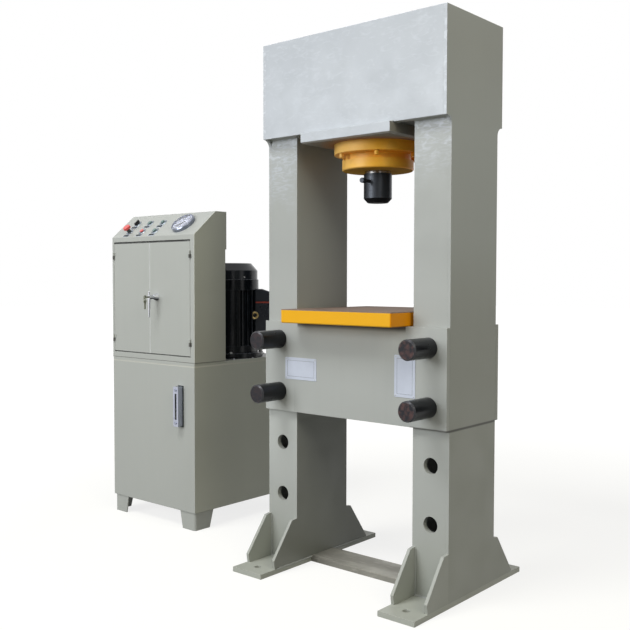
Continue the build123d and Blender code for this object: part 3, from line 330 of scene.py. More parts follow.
def turned(g, base):
    """Fine rings left by the lathe, painted light on the left side, painted shade making the right one
    redder and painted shade on the underside.
    """
    # Painted light on the left side, painted shade in red on the right side.
    across = g.dot(g.place(), (0.76, 0.65, 0.0))
    base = g.mix(g.span(across, -0.14, -0.01, 0.9, 0.0), base, painted_light_peach)
    base = g.mix(g.span(across, 0.03, 0.14, 0.0, 0.9), base, painted_shade_red)
    # Painted shade: the gland's underside darkened.
    under = g.below(g.axis("Z"), gland_bottom_z + near)
    base = g.mix(under, base, shade(cylinder_orange, 0.40))
    rings = g.noise(120.0, 3.0, stretch=(0.02, 0.02, 1.0))
    base = g.mix(g.span(rings, 0.45, 0.75, 0.0, 0.35), base, shade(cylinder_orange, 1.25))
    dirt = g.noise(14.0, 7.0, distortion=0.5)
    return g.mix(g.span(dirt, 0.55, 0.78, 0.0, 0.4), base, shade(cylinder_orange, 0.55))


def paint(
    name,
    colour,
    peel=0.00012,
    wear=0.25,
    roughness=0.42,
    cloud=0.05,
    dust=0.10,
    edge=1.22,
    rim=0.0014,
    gloss=0.42,
    over=None,
    matt=0.0,
):
    """Sprayed enamel with clouds, streaks, specks, paler edges and orange peel, dull below a height;
    the paler edges are wear, and a painted highlight where edge is set high.
    """
    g = Graph(name, Specular_IOR_Level=gloss)
    base = g.mix(g.noise(2.3, 5.0), shade(colour, 1 - cloud), shade(colour, 1 + cloud))
    streaks = g.noise(26.0, 5.0, stretch=(1.0, 1.0, 0.07))
    base = g.mix(g.span(streaks, 0.52, 0.80, 0.0, dust), base, shade(colour, 0.72))
    base = over(g, base) if over else base
    specks = g.span(g.cells(240.0), 0.06, 0.02, 0.0, 0.5 * dust)
    base = g.mix(specks, base, shade(colour, 0.45))
    normal, mask = g.rounded(rim)
    # Paler edges: worn paint, and a painted highlight where edge is set high.
    edge_wear_and_highlight = g.times(mask, g.span(g.noise(55.0, 6.0), 0.40, 0.62, 0.25, 1.0))
    g.set("Base Color", g.mix(g.times(edge_wear_and_highlight, wear * 2), base, shade(colour, edge)))
    rough = g.span(g.noise(9.0, 4.0), 0.3, 0.7, roughness - 0.06, roughness + 0.10)
    g.set("Roughness", g.most(rough, g.times(g.below(g.axis("Z"), matt), 0.95)))
    wavy = g.bump(g.noise(5.0, 2.0), 0.0009, normal)
    g.set("Normal", g.bump(g.noise(430.0, 2.0), peel, wavy))
    return g.material


def metal(
    name,
    colour,
    roughness,
    stretch,
    scratch=0.0001,
    stain=0.12,
    dark=(0.16, 0.13, 0.10),
    metallic=1.0,
    under=1.0,
):
    """Bare or plated metal, brushed along one axis, with faint stains and a duller underside that is
    also darkened, a painted shade set by under.
    """
    g = Graph(name, metallic=metallic, Specular_IOR_Level=0.3)
    grain = g.noise(60.0, 8.0, stretch=stretch)
    base = g.mix(grain, shade(colour, 0.86), shade(colour, 1.10))
    base = g.mix(g.span(g.noise(7.0, 6.0), 0.48, 0.75, 0.0, stain), base, dark)
    # Painted shade: downward faces darkened towards black and made rough, by 1 - under.
    facing = g.add("ShaderNodeNewGeometry", {}).outputs["Normal"]
    upward = g.add("ShaderNodeSeparateXYZ", {"Vector": facing}).outputs["Z"]
    below = g.span(upward, -0.15, -0.60, 0.0, 1.0 - under)
    g.set("Base Color", g.mix(below, base, (0.01, 0.01, 0.012)))
    rough = g.span(grain, 0.25, 0.75, roughness - 0.07, roughness + 0.09)
    g.set("Roughness", g.most(rough, g.times(below, 0.9)))
    g.set("Normal", g.bump(grain, scratch, g.rounded(0.0006)[0]))
    return g.material


def plastic(name, colour, roughness=0.4, grain=0.00004, coat=0.0, gloss=0.35, stem=None):
    """Moulded plastic with a fine grain, softer edges and sometimes a darker stem."""
    g = Graph(name, Coat_Weight=coat, Coat_Roughness=0.12, Specular_IOR_Level=gloss)
    base = g.mix(g.noise(35.0, 3.0), shade(colour, 0.93), shade(colour, 1.07))
    normal, mask = g.rounded(0.0006)
    base = g.mix(g.times(mask, 0.35), base, shade(colour, 1.3))
    if stem is not None:
        panel = panel_matrix(0, 0)
        out = panel.col[2].xyz
        level = out.dot(panel.translation) + stem
        base = g.mix(g.span(g.dot(g.place(), out), level + 0.0004, level), base, label_black)
    g.set("Base Color", base)
    g.set("Roughness", g.span(g.noise(120.0, 3.0), 0.3, 0.7, roughness - 0.05, roughness + 0.07))
    g.set("Normal", g.bump(g.noise(900.0, 2.0), grain, normal))
    return g.material


def glass(name, colour, roughness=0.03):
    g = Graph(name, roughness=roughness, Transmission_Weight=1.0, IOR=1.45)
    tint = g.mix(g.noise(14.0, 3.0), shade(colour, 0.97), shade(colour, 1.0))
    g.set("Base Color", tint)
    g.set("Normal", g.bump(g.noise(9.0, 2.0), 0.00005))
    return g.material


def bolster_material(corner):
    """Yellow enamel on the sides, with painted shade making the right end redder and darker, and oily
    machined steel on top.
    """
    g = Graph("bolster_yellow_and_steel", Specular_IOR_Level=0.2)
    yellow = (0.83, 0.415, 0.006)
    shaded_end_orange = (0.85, 0.310, 0.001)
    steel = (0.225, 0.160, 0.125)
    oily_steel = (0.105, 0.078, 0.062)
    normal, mask = g.rounded(0.0012)
    side = g.mix(g.noise(4.0, 5.0), shade(yellow, 0.93), shade(yellow, 1.05))
    # Painted shade: the right end face redder and darker.
    shaded_right_end = g.span(g.axis("X"), corner.x - 0.0040, corner.x - 0.0025)
    side = g.mix(shaded_right_end, side, shaded_end_orange)
    side = g.mix(g.times(mask, 0.5), side, shade(yellow, 0.62))
    cuts = g.noise(95.0, 6.0, stretch=(1.0, 0.05, 1.0))
    oil = g.span(g.noise(9.0, 6.0), 0.40, 0.65)
    top = g.mix(cuts, shade(steel, 0.75), shade(steel, 1.25))
    top = g.mix(g.times(oil, 0.55), top, oily_steel)
    on_top = g.span(g.axis("Z"), corner.z - 0.0034, corner.z - 0.0026)
    g.set("Base Color", g.mix(on_top, side, top))
    g.set("Metallic", g.times(on_top, 0.3))
    rough_side = g.span(g.noise(12.0, 4.0), 0.3, 0.7, 0.36, 0.50)
    rough_top = g.span(oil, 0.0, 1.0, 0.85, 0.62)
    rough = g.add("ShaderNodeMix", {"Factor": on_top, "A": rough_side, "B": rough_top})
    g.set("Roughness", rough.outputs["Result"])
    g.set("Normal", g.bump(g.noise(300.0, 3.0), 0.0001, normal))
    return g.material


def pin_material(head_y):
    """Blackened turned steel with painted highlights on the rim's chamfer and edge, and rust on the end
    face, more of it to the right.
    """
    g = Graph("blackened_pin_steel", metallic=0.3, Specular_IOR_Level=0.35)
    black = (0.0075, 0.0085, 0.0110)
    bare = (0.011, 0.011, 0.015)
    rust = (0.100, 0.050, 0.045)
    pin_chamfer_highlight = (0.050, 0.050, 0.058)
    pin_edge_highlight = (0.30, 0.30, 0.32)
    rings = g.noise(70.0, 5.0, stretch=(0.15, 1.0, 0.15))
    shank = g.mix(rings, shade(black, 0.7), shade(black, 1.5))
    blotch = g.noise(60.0, 9.0)
    shank = g.mix(g.span(blotch, 0.58, 0.75, 0.0, 0.2), shank, shade(rust, 0.5))
    face = g.mix(g.span(g.noise(300.0, 5.0), 0.35, 0.68), shade(bare, 0.70), shade(bare, 1.30))
    rusty = g.times(g.span(blotch, 0.42, 0.66), g.span(g.axis("X"), -0.35, 0.30, 0.20, 0.75))
    face = g.mix(rusty, face, rust)
    on_face = g.span(g.axis("Y"), head_y + 0.0006, head_y + 0.0002)
    on_rim = band(g, "Y", head_y + 0.0006, head_y + 0.0050, 0.0004)
    normal, mask = g.rounded(0.0010)
    colour = g.mix(on_face, shank, face)
    # Painted highlight: the chamfer and the edges paler.
    colour = g.mix(g.times(on_rim, 0.6), colour, pin_chamfer_highlight)
    g.set("Base Color", g.mix(g.times(mask, 0.55), colour, pin_edge_highlight))
    rough = g.span(blotch, 0.3, 0.7, 0.26, 0.42)
    g.set("Roughness", g.most(rough, g.times(on_face, 0.62)))
    g.set("Normal", g.bump(g.noise(260.0, 6.0), 0.00022, g.bump(rings, 0.0001, normal)))
    return g.material


def cabinet_devices(back_y):
    """Zinc mounting plate and rails, with dark moulded devices in front, split into modules."""
    g = Graph("cabinet_devices", Specular_IOR_Level=0.3)
    module = 0.0175
    device = g.below(g.axis("Y"), back_y - module)
    steel = g.mix(g.noise(30.0, 5.0), (0.37, 0.38, 0.39), (0.47, 0.48, 0.49))
    moulded = g.mix(g.noise(60.0, 3.0), (0.070, 0.073, 0.080), (0.095, 0.099, 0.108))
    step = g.calc("MODULO", g.calc("ADD", g.axis("X"), 2.0), module)
    moulded = g.mix(g.span(step, 0.0013, 0.0009), moulded, (0.012, 0.012, 0.013))
    g.set("Base Color", g.mix(device, steel, moulded))
    g.set("Metallic", g.span(device, 0.0, 1.0, 0.8, 0.0))
    g.set("Roughness", g.span(g.noise(90.0, 3.0), 0.3, 0.7, 0.36, 0.50))
    g.set("Normal", g.bump(g.noise(500.0, 2.0), 0.00006, g.rounded(0.0008)[0]))
    return g.material


def scuffed_bar():
    """Flat bar with worn grey paint, bare handled patches, and painted shade darkening its sides."""
    g = Graph("scuffed_bar", metallic=0.15, Specular_IOR_Level=0.35)
    grey = (0.325, 0.315, 0.275)
    bare = (0.50, 0.48, 0.43)
    worn = g.span(g.noise(9.0, 8.0, stretch=(0.5, 1.0, 1.0)), 0.42, 0.64)
    scratch = g.span(g.noise(60.0, 8.0, stretch=(0.25, 1.0, 1.0)), 0.55, 0.68)
    base = g.mix(worn, shade(grey, 0.80), shade(grey, 1.20))
    # Painted shade: the bar's sides darker below its top.
    base = g.mix(g.span(g.axis("Z"), 0.0188, 0.0180, 0.0, 0.5), base, shade(grey, 0.55))
    g.set("Base Color", g.mix(g.times(scratch, 0.35), base, bare))
    g.set("Roughness", g.span(worn, 0.0, 1.0, 0.66, 0.48))
    g.set("Normal", g.bump(g.noise(150.0, 5.0), 0.0003, g.rounded(0.0012)[0]))
    return g.material


frame_grey = (0.395, 0.410, 0.392)
base_grey = (0.410, 0.425, 0.378)
outer_lit_grey = (0.442, 0.468, 0.462)
cast_shadow_black = (0.040, 0.038, 0.033)
crown_silver = (0.450, 0.478, 0.515)
seat_shade_brown = (0.160, 0.135, 0.102)
cylinder_reflection_orange = (0.36, 0.145, 0.030)
unit_grey = (0.392, 0.405, 0.380)
lit_side_grey = (0.455, 0.465, 0.405)
lit_upper_grey = (0.545, 0.560, 0.485)
shaded_lower_grey = (0.395, 0.395, 0.335)
tank_highlight_grey = (0.62, 0.61, 0.53)
seam_highlight_grey = (0.70, 0.72, 0.71)
door_gap_shadow_black = (0.009, 0.009, 0.009)
cylinder_orange = (1.0, 0.480, 0.040)
painted_light_peach = (1.0, 0.61, 0.17)
painted_shade_red = (1.0, 0.340, 0.008)
motor_black = (0.0062, 0.0080, 0.0110)
label_black = (0.020, 0.028, 0.030)
# The unit's paler rims are a painted highlight as well as wear.
unit_edges = {"dust": 0.06, "roughness": 0.40, "rim": 0.003, "edge": 1.35, "wear": 0.32}

looks = {
    "frame": paint("grey_frame_enamel", frame_grey, over=overspray_and_painted_shading),
    "base": paint("dull_base_enamel", base_grey, dust=0.25, cloud=0.10, wear=0.4, edge=1.5),
    "crown": paint(
        "silver_crown_enamel", crown_silver, cloud=0.0, dust=0.08, edge=1.5, rim=0.0035, wear=0.4,
        over=crown_front, matt=seat_bottom_z + near,
    ),
    "unit": paint("grey_unit_enamel", unit_grey, over=unit_lines, **unit_edges),
    "orange": paint(
        "orange_cylinder_enamel", cylinder_orange, peel=0.0002, dust=0.05, edge=1.0, gloss=0.32,
        over=turned, matt=gland_bottom_z + near,
    ),
    # Painted shade: the crown's bottom plate in dark grey.
    "underside": paint("shaded_underside_enamel", shade(frame_grey, 0.22), dust=0.3),
    "hydraulic": paint("dark_grey_enamel", (0.10, 0.11, 0.115)),
    # edge=11.0 makes the black's rims pale: a painted highlight.
    "motor": paint(
        "black_motor_enamel", motor_black, dust=0.0, wear=0.5, roughness=0.18, edge=11.0,
        rim=0.0022, gloss=0.26,
    ),
    # The fan cover's and the terminal box's blacks are lighter and bluer than the motor's: a painted
    # sheen.
    "fan_cover": paint(
        "black_fan_cover_enamel", (0.012, 0.015, 0.021), dust=0.0, roughness=0.2, edge=6.0, gloss=0.4
    ),
    "box": paint(
        "black_box_enamel", (0.010, 0.0125, 0.019), dust=0.0, roughness=0.3, edge=6.0, gloss=0.5
    ),
    "key": metal("olive_key_nickel", (0.22, 0.23, 0.17), 0.36, (1.0, 1.0, 1.0), 0.0001, 0.16),
    "weld": paint("painted_weld", shade(frame_grey, 0.97), peel=0.0003, wear=0.4, dust=0.2),
    # under=0.1: painted shade on the chrome's underside.
    "chrome": metal(
        "bright_chrome", (0.66, 0.67, 0.71), 0.09, (1.0, 1.0, 0.4), 0.00003, 0.05, under=0.1
    ),
    "gauge_frame": metal(
        "lavender_grey_trim", (0.40, 0.42, 0.50), 0.30, (1.0, 1.0, 0.4), 0.00003, 0.05
    ),
    "bezel": metal("blue_grey_bezel", (0.30, 0.34, 0.38), 0.30, (1.0, 1.0, 1.0), 0.00003, 0.05),
    "gauge_steel": metal(
        "blue_grey_gauge_steel", (0.24, 0.26, 0.32), 0.16, (1.0, 1.0, 1.0), 0.00003, 0.05
    ),
    "rod": metal("ground_rod", (0.46, 0.46, 0.46), 0.20, (1.0, 1.0, 3.0), 0.00005, 0.06),
    "zinc": metal("zinc_plate", (0.50, 0.51, 0.53), 0.34, (1.0, 1.0, 1.0), 0.0001, 0.16),
    # under=0.0: painted shade on the nose's underside.
    "nose": metal(
        "black_oxide", (0.048, 0.053, 0.063), 0.36, (1.0, 1.0, 4.0), 0.0001, 0.10,
        dark=(0.03, 0.024, 0.02), metallic=0.7, under=0.0,
    ),
    "brass": metal("plain_brass", (0.50, 0.37, 0.16), 0.30, (1.0, 1.0, 1.0), 0.0001, 0.20),
    "bare": metal("bare_steel", (0.36, 0.36, 0.36), 0.38, (1.0, 1.0, 0.2), 0.0001, 0.2),
    "plate": plastic("blank_plate_enamel", (0.56, 0.60, 0.70), 0.45, 0.00006),
    "flag": plastic("black_card", (0.004, 0.004, 0.004), 0.9, gloss=0.0),
    "black": plastic("black_plastic", (0.018, 0.018, 0.020), gloss=0.2),
    "hinge": paint("dark_hinge_enamel", (0.105, 0.105, 0.098), dust=0.0),
    "label": plastic("dark_label", label_black, 0.5, gloss=0.2),
    "red": plastic("red_plastic", (0.66, 0.110, 0.115), 0.30, coat=0.4),
    "red_head": plastic("red_emergency_plastic", (0.70, 0.085, 0.080), 0.30, coat=0.4, stem=0.0195),
    "green": plastic("green_plastic", (0.110, 0.185, 0.175), 0.30, coat=0.3),
    "white": plastic("white_dial", (0.47, 0.48, 0.60), 0.45, gloss=0.25),
    "ink": plastic("dial_ink", (0.16, 0.17, 0.24), 0.5, gloss=0.2),
    "highlight_rings": plastic("pale_highlight_enamel", (0.16, 0.165, 0.19), 0.3, gloss=0.3),
    "gasket": plastic("red_brown_gasket", (0.36, 0.050, 0.032), 0.6),
    "clear": glass("clear_glass", (0.95, 0.97, 0.97)),
    "oil": glass("hydraulic_oil", (0.50, 0.47, 0.44), 0.08),
    "bar": scuffed_bar(),
}

node_looks = {
    "frame": (
        "left_side_plate", "right_side_plate", "left_column", "right_column", "crown_back_plate",
        "crown_top_plate", "table_front_plate", "table_back_plate", "table_core",
    ),
    "underside": ("crown_bottom_plate",),
    "base": ("base_plates",),
    "bar": ("foot_tie_bar",),
    "crown": ("crown_front_plate", "cylinder_seat_plate"),
    "orange": ("cylinder_barrel", "gland_flange", "flange_bolts"),
    "zinc": ("port_fittings", "lock_cam"),
    "rod": ("piston_rod",),
    "nose": ("ram_nose", "nose_screw"),
    "unit": (
        "tank_body", "tank_cover", "tank_feet", "cabinet_shell", "rear_cover", "left_door",
        "right_door",
    ),
    "chrome": ("door_lock", "lock_handle"),
    "gauge_frame": ("level_gauge_frame",),
    "bezel": ("control_bezels",),
    "clear": ("level_gauge_glass", "gauge_glass"),
    "hinge": ("door_hinges",),
    "black": ("gauge_needle", "motor_fan", "solenoid_valve", "breather_cap", "selector_switch"),
    "gauge_steel": ("gauge_case",),
    "motor": ("motor_housing", "pump"),
    "fan_cover": ("fan_cover",),
    "box": ("terminal_box",),
    "key": ("lock_keys",),
    "bare": ("motor_rotor",),
    "hydraulic": ("valve_block",),
    "red_head": ("emergency_stop_button",),
    "red": ("stop_button",),
    "green": ("raise_button", "start_button", "lower_button"),
}


def dress(name, material):
    """Give a carried-over node its material."""
    mesh = nodes[name].data
    mesh.materials.clear()
    mesh.materials.append(material)


for look, names in node_looks.items():
    for name in names:
        dress(name, looks[look])
dress("device_plate", cabinet_devices(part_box("device_plate")[1].y))
dress("bolster_plate", bolster_material(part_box("bolster_plate")[1]))
pin_steel = pin_material(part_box("pin_upper_left")[0].y)
for name in ("pin_lower_left", "pin_lower_right", "pin_upper_left", "pin_upper_right"):
    dress(name, pin_steel)


# Mesh helpers
def aimed(place, direction, turn=0.0):
    """Matrix that puts local Z along a direction at a place."""
    z = Vector(direction).normalized()
    x = Vector((1, 0, 0)) if abs(z.x) < 0.9 else Vector((0, 1, 0))
    y = z.cross(x).normalized()
    x = y.cross(z)
    matrix = Matrix((x, y, z)).transposed().to_4x4()
    matrix.translation = place
    return matrix @ Matrix.Rotation(turn, 4, "Z")


def lathe(bm, profile, matrix, steps=24):
    """Turned body from (radius, height) points, open ends closed by radius 0."""
    rings = []
    for r, z in profile:
        if r == 0:
            rings.append([bm.verts.new(matrix @ Vector((0, 0, z)))])
            continue
        angles = [2 * pi * i / steps for i in range(steps)]
        rings.append([bm.verts.new(matrix @ Vector((r * cos(a), r * sin(a), z))) for a in angles])
    for low, high in zip(rings, rings[1:]):
        for i in range(steps):
            j = (i + 1) % steps
            corners = [low[i % len(low)], low[j % len(low)], high[j % len(high)], high[i % len(high)]]
            bm.faces.new(list(dict.fromkeys(corners)))


def slab(bm, low, high, soft=0.0, matrix=None):
    """Box between two corners with bevelled edges."""
    middle = (Vector(low) + Vector(high)) / 2
    size = Vector(high) - Vector(low)
    place = Matrix.Translation(middle) @ Matrix.Diagonal((*size, 1))
    if matrix is not None:
        place = matrix @ place
    made = bmesh.ops.create_cube(bm, size=1.0, matrix=place)
    if soft > 0:
        edges = list({edge for vert in made["verts"] for edge in vert.link_edges})
        bmesh.ops.bevel(bm, geom=edges, offset=soft, segments=2, profile=0.5, affect="EDGES")


def plate(bm, matrix, width, height, thickness, corner, edge=0.0002, steps=5):
    """Thin plate with round corners and a broken front edge, standing on its matrix."""
    outline = []
    for cx, cy, start in ((1, 1, 0), (-1, 1, 90), (-1, -1, 180), (1, -1, 270)):
        for i in range(steps + 1):
            a = radians(start + 90 * i / steps)
            x = cx * (width / 2 - corner) + corner * cos(a)
            y = cy * (height / 2 - corner) + corner * sin(a)
            outline.append((x, y))
    rings = []
    for z, inset in ((0, 0), (thickness - edge, 0), (thickness, edge)):
        scale_x = 1 - 2 * inset / width
        scale_y = 1 - 2 * inset / height
        rings.append([bm.verts.new(matrix @ Vector((x * scale_x, y * scale_y, z))) for x, y in outline])
    count = len(outline)
    for low, high in zip(rings, rings[1:]):
        for i in range(count):
            j = (i + 1) % count
            bm.faces.new((low[i], low[j], high[j], high[i]))
    bm.faces.new(rings[-1])
    bm.faces.new(list(reversed(rings[0])))


def number(bm, text, height, matrix):
    """Plain number, centred on a matrix, as a thin raised mesh."""
    curve = bpy.data.curves.new("number", "FONT")
    curve.body = text
    curve.size = height
    curve.extrude = 0.0001
    curve.resolution_u = 2
    curve.align_x = "CENTER"
    curve.align_y = "CENTER"
    source = bpy.data.objects.new("number", curve)
    mesh = bpy.data.meshes.new_from_object(source)
    mesh.transform(matrix)
    bm.from_mesh(mesh)
    bpy.data.objects.remove(source)
    bpy.data.curves.remove(curve)
    bpy.data.meshes.remove(mesh)


def rivet(bm, place, direction, r=rivet_r):
    dome = [(r, 0), (r, 0.2 * r), (0.86 * r, 0.5 * r), (0.5 * r, 0.72 * r), (0, 0.8 * r)]
    lathe(bm, dome, aimed(place, direction), 12)


def hex_bolt(bm, place, direction, r, turn=0.0):
    """Hexagon head with its washer and a chamfered top, r over the corners."""
    matrix = aimed(place, direction, turn)
    w = 1.25 * r
    lathe(bm, [(w, 0), (w, 0.10 * r), (0.97 * w, 0.14 * r), (0, 0.14 * r)], matrix, 24)
    lathe(bm, [(r, 0.14 * r), (r, 0.72 * r), (0.84 * r, 0.86 * r), (0, 0.86 * r)], matrix, 6)


def socket_screw(bm, place, direction, r, h):
    """Round head with a round socket."""
    matrix = aimed(place, direction)
    lathe(bm, [(r, 0), (r, 0.85 * h), (0.88 * r, h), (0.5 * r, h)], matrix, 20)
    lathe(bm, [(0.5 * r, h), (0.5 * r, 0.45 * h), (0, 0.45 * h)], matrix, 20)


def slotted_screw(bm, place, direction, r, turn=0.4):
    """Pan head with a straight slot made of two halves."""
    matrix = aimed(place, direction, turn)
    lathe(bm, [(r, 0), (r, 0.25 * r), (0.8 * r, 0.5 * r), (0, 0.5 * r)], matrix, 20)
    for side in (-1, 1):
        low = (-0.62 * r, side * 0.40 * r - 0.26 * r, 0.45 * r)
        high = (0.62 * r, side * 0.40 * r + 0.26 * r, 0.62 * r)
        slab(bm, low, high, 0.06 * r, matrix)


def bead(bm, start, end, r=weld_r, ripple=0.006, sides=8):
    """Weld bead with its ripples between two points, three steps to a ripple."""
    start = Vector(start)
    run = Vector(end) - start
    steps = max(int(run.length / (ripple / 3)), 2)
    profile = [(0, 0)]
    for i in range(steps + 1):
        swell = 1 + 0.13 * sin(2 * pi * 3 * i / steps * run.length / (3 * ripple))
        ends = 0.55 if i in (0, steps) else 1.0
        profile.append((r * swell * ends, run.length * i / steps))
    profile.append((0, run.length))
    lathe(bm, profile, aimed(start, run), sides)


def spots(low, high, inset, count):
    """Even places between two ends, inset from both."""
    return [low + inset + (high - low - 2 * inset) * i / (count - 1) for i in range(count)]


def piece(name, bm, look, body):
    """Turn a bmesh into a finished piece that rides on a body."""
    bmesh.ops.recalc_face_normals(bm, faces=bm.faces)
    mesh = bpy.data.meshes.new(name)
    bm.to_mesh(mesh)
    bm.free()
    for polygon in mesh.polygons:
        polygon.use_smooth = True
    mesh.set_sharp_from_angle(angle=radians(35))
    mesh.materials.append(looks[look])
    made = bpy.data.objects.new(name, mesh)
    bpy.context.scene.collection.objects.link(made)
    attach(made, body)


# Press frame details
def frame_welds():
    """Beads where the seat, the columns and the feet meet their neighbours."""
    bm = bmesh.new()
    seat_low, seat_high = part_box("cylinder_seat_plate")
    column_low, column_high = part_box("right_column")
    base_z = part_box("base_plates")[1].z
    crown_reach = 0.150
    base_reach = 0.262
    for face in (-1, 1):
        y = face * (crown_face_y + 0.001)
        bead(bm, (seat_low.x, y, seat_high.z), (seat_high.x, y, seat_high.z))
    for side in (-1, 1):
        x = side * (column_low.x - 0.0005)
        bead(bm, (x, -crown_reach, crown_z), (x, crown_reach, crown_z), 0.004)
        bead(bm, (x, -base_reach, base_z), (x, base_reach, base_z), 0.0035)
        inner = side * (column_low.x + 0.013)
        outer = side * (column_high.x - 0.001)
        for face, top in ((-1, 0.182), (1, 0.166)):
            y = face * (column_face_y + 0.0005)
            bead(bm, (inner, y, base_z), (outer, y, base_z), 0.0038)
            bead(bm, (inner, y, base_z), (inner, y, top), 0.0030)
            bead(bm, (outer, y, base_z), (outer, y, top), 0.0030)
            bead(bm, (x, y + face * 0.001, crown_z), (outer, y + face * 0.001, crown_z), 0.0035)
    bar_low, bar_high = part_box("foot_tie_bar")
    for side in (-1, 1):
        x = side * (bar_high.x + 0.0005)
        bead(bm, (x, bar_low.y, base_z), (x, bar_high.y, base_z), 0.0035)
    piece("frame_weld_beads", bm, "weld", "frame")


def blank_plates():
    """Two blank plates riveted to the front of the table, each with an engraved border."""
    face_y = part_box("table_front_plate")[0].y
    corner_r = 0.004
    border = 0.0115
    rivet_inset = 0.006
    line_half = 0.00035
    front_y = face_y - plate_t
    bm = bmesh.new()
    heads = bmesh.new()
    lines = bmesh.new()
    for x, z, width, height in ((-0.2295, 0.7635, 0.155, 0.083), (0.243, 0.7695, 0.086, 0.145)):
        plate(bm, aimed(Vector((x, face_y, z)), (0, -1, 0)), width, height, plate_t, corner_r)
        border_x = width / 2 - border
        border_z = height / 2 - border
        for sign in (-1, 1):
            across = (x, z + sign * border_z, border_x, line_half)
            upright = (x + sign * border_x, z, line_half, border_z)
            for middle_x, middle_z, reach_x, reach_z in (across, upright):
                low = (middle_x - reach_x, front_y - 0.00012, middle_z - reach_z)
                high = (middle_x + reach_x, front_y + 0.0002, middle_z + reach_z)
                slab(lines, low, high)
        for sx in (-1, 1):
            for sz in (-1, 1):
                spot_x = x + sx * (width / 2 - rivet_inset)
                spot_z = z + sz * (height / 2 - rivet_inset)
                rivet(heads, Vector((spot_x, front_y, spot_z)), (0, -1, 0))
    piece("blank_table_plates", bm, "plate", "frame")
    piece("plate_border_lines", lines, "label", "frame")
    piece("table_plate_rivets", heads, "zinc", "frame")


def nose_knurl():
    """Knurled rim of the nose screw."""
    low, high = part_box("nose_screw")
    z = (low.z + high.z) / 2
    bm = bmesh.new()
    r = (high.z - low.z) / 2
    ridges = 28
    for i in range(ridges):
        a = 2 * pi * i / ridges
        spot = Vector((r * cos(a), low.y + 0.0015, z + r * sin(a)))
        slab(bm, (-0.0006, -0.0006, 0), (0.0006, 0.0006, 0.0165), 0.0002, aimed(spot, (0, 1, 0), a))
    piece("nose_screw_knurl", bm, "nose", "ram")


# Power unit details
def tank_bolts():
    """Small hexagon bolts round the tank's cover, where it stands clear of the cabinet."""
    low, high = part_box("tank_cover")
    bm = bmesh.new()
    edge = 0.014
    for y in (0.15, 0.27, 0.39):
        for x in (low.x + edge, high.x - edge):
            hex_bolt(bm, Vector((x, y, high.z)), (0, 0, 1), 0.0055, 0.3)
    for x in spots(low.x, high.x, edge, 5):
        hex_bolt(bm, Vector((x, high.y - edge, high.z)), (0, 0, 1), 0.0055, 0.3)
    piece("tank_cover_bolts", bm, "zinc", "frame")


def rear_cover_screws():
    """Screws round the rear cover's edge."""
    low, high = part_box("rear_cover")
    bm = bmesh.new()
    edge = 0.012
    for i, x in enumerate(spots(low.x, high.x, edge, 5)):
        for z in (low.z + edge, high.z - edge):
            slotted_screw(bm, Vector((x, high.y - 0.0002, z)), (0, 1, 0), 0.004, 0.5 * i)
    piece("rear_cover_screws", bm, "zinc", "frame")


def level_gauge_details():
    """Sockets of the screws, a dark plate behind the frame, bright back strip and oil column of the
    level gauge.
    """
    low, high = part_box("level_gauge_frame")
    glass_low, glass_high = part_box("level_gauge_glass")
    tank_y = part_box("tank_body")[0].y
    x = (low.x + high.x) / 2
    screw_inset = 0.0155
    bm = bmesh.new()
    for z in (low.z + screw_inset, high.z - screw_inset):
        socket_screw(bm, Vector((x, low.y + 0.0018, z)), (0, -1, 0), 0.0056, 0.0022)
    piece("level_gauge_screws", bm, "gauge_steel", "frame")
    # A dark plate a little larger than the frame, showing as a dark outline at its right and bottom.
    bm = bmesh.new()
    seal_low = (low.x - 0.0012, tank_y - 0.003, low.z - 0.0035)
    seal_high = (high.x + 0.003, tank_y + 0.0002, high.z + 0.003)
    slab(bm, seal_low, seal_high, 0.001)
    piece("level_gauge_dark_outline", bm, "label", "frame")
    bm = bmesh.new()
    back = glass_high.y - 0.0012
    strip_low = (glass_low.x + 0.0004, back, glass_low.z + 0.0005)
    strip_high = (glass_high.x - 0.0004, back + 0.001, glass_high.z - 0.0005)
    slab(bm, strip_low, strip_high)
    piece("level_gauge_back", bm, "white", "frame")
    bm = bmesh.new()
    filled = 0.62 * (glass_high.z - glass_low.z)
    tube = [(0, 0), (0.0030, 0), (0.0030, filled), (0, filled)]
    foot = Vector((x, (glass_low.y + back) / 2, glass_low.z + 0.001))
    lathe(bm, tube, aimed(foot, (0, 0, 1)), 16)
    piece("level_gauge_oil", bm, "oil", "frame")


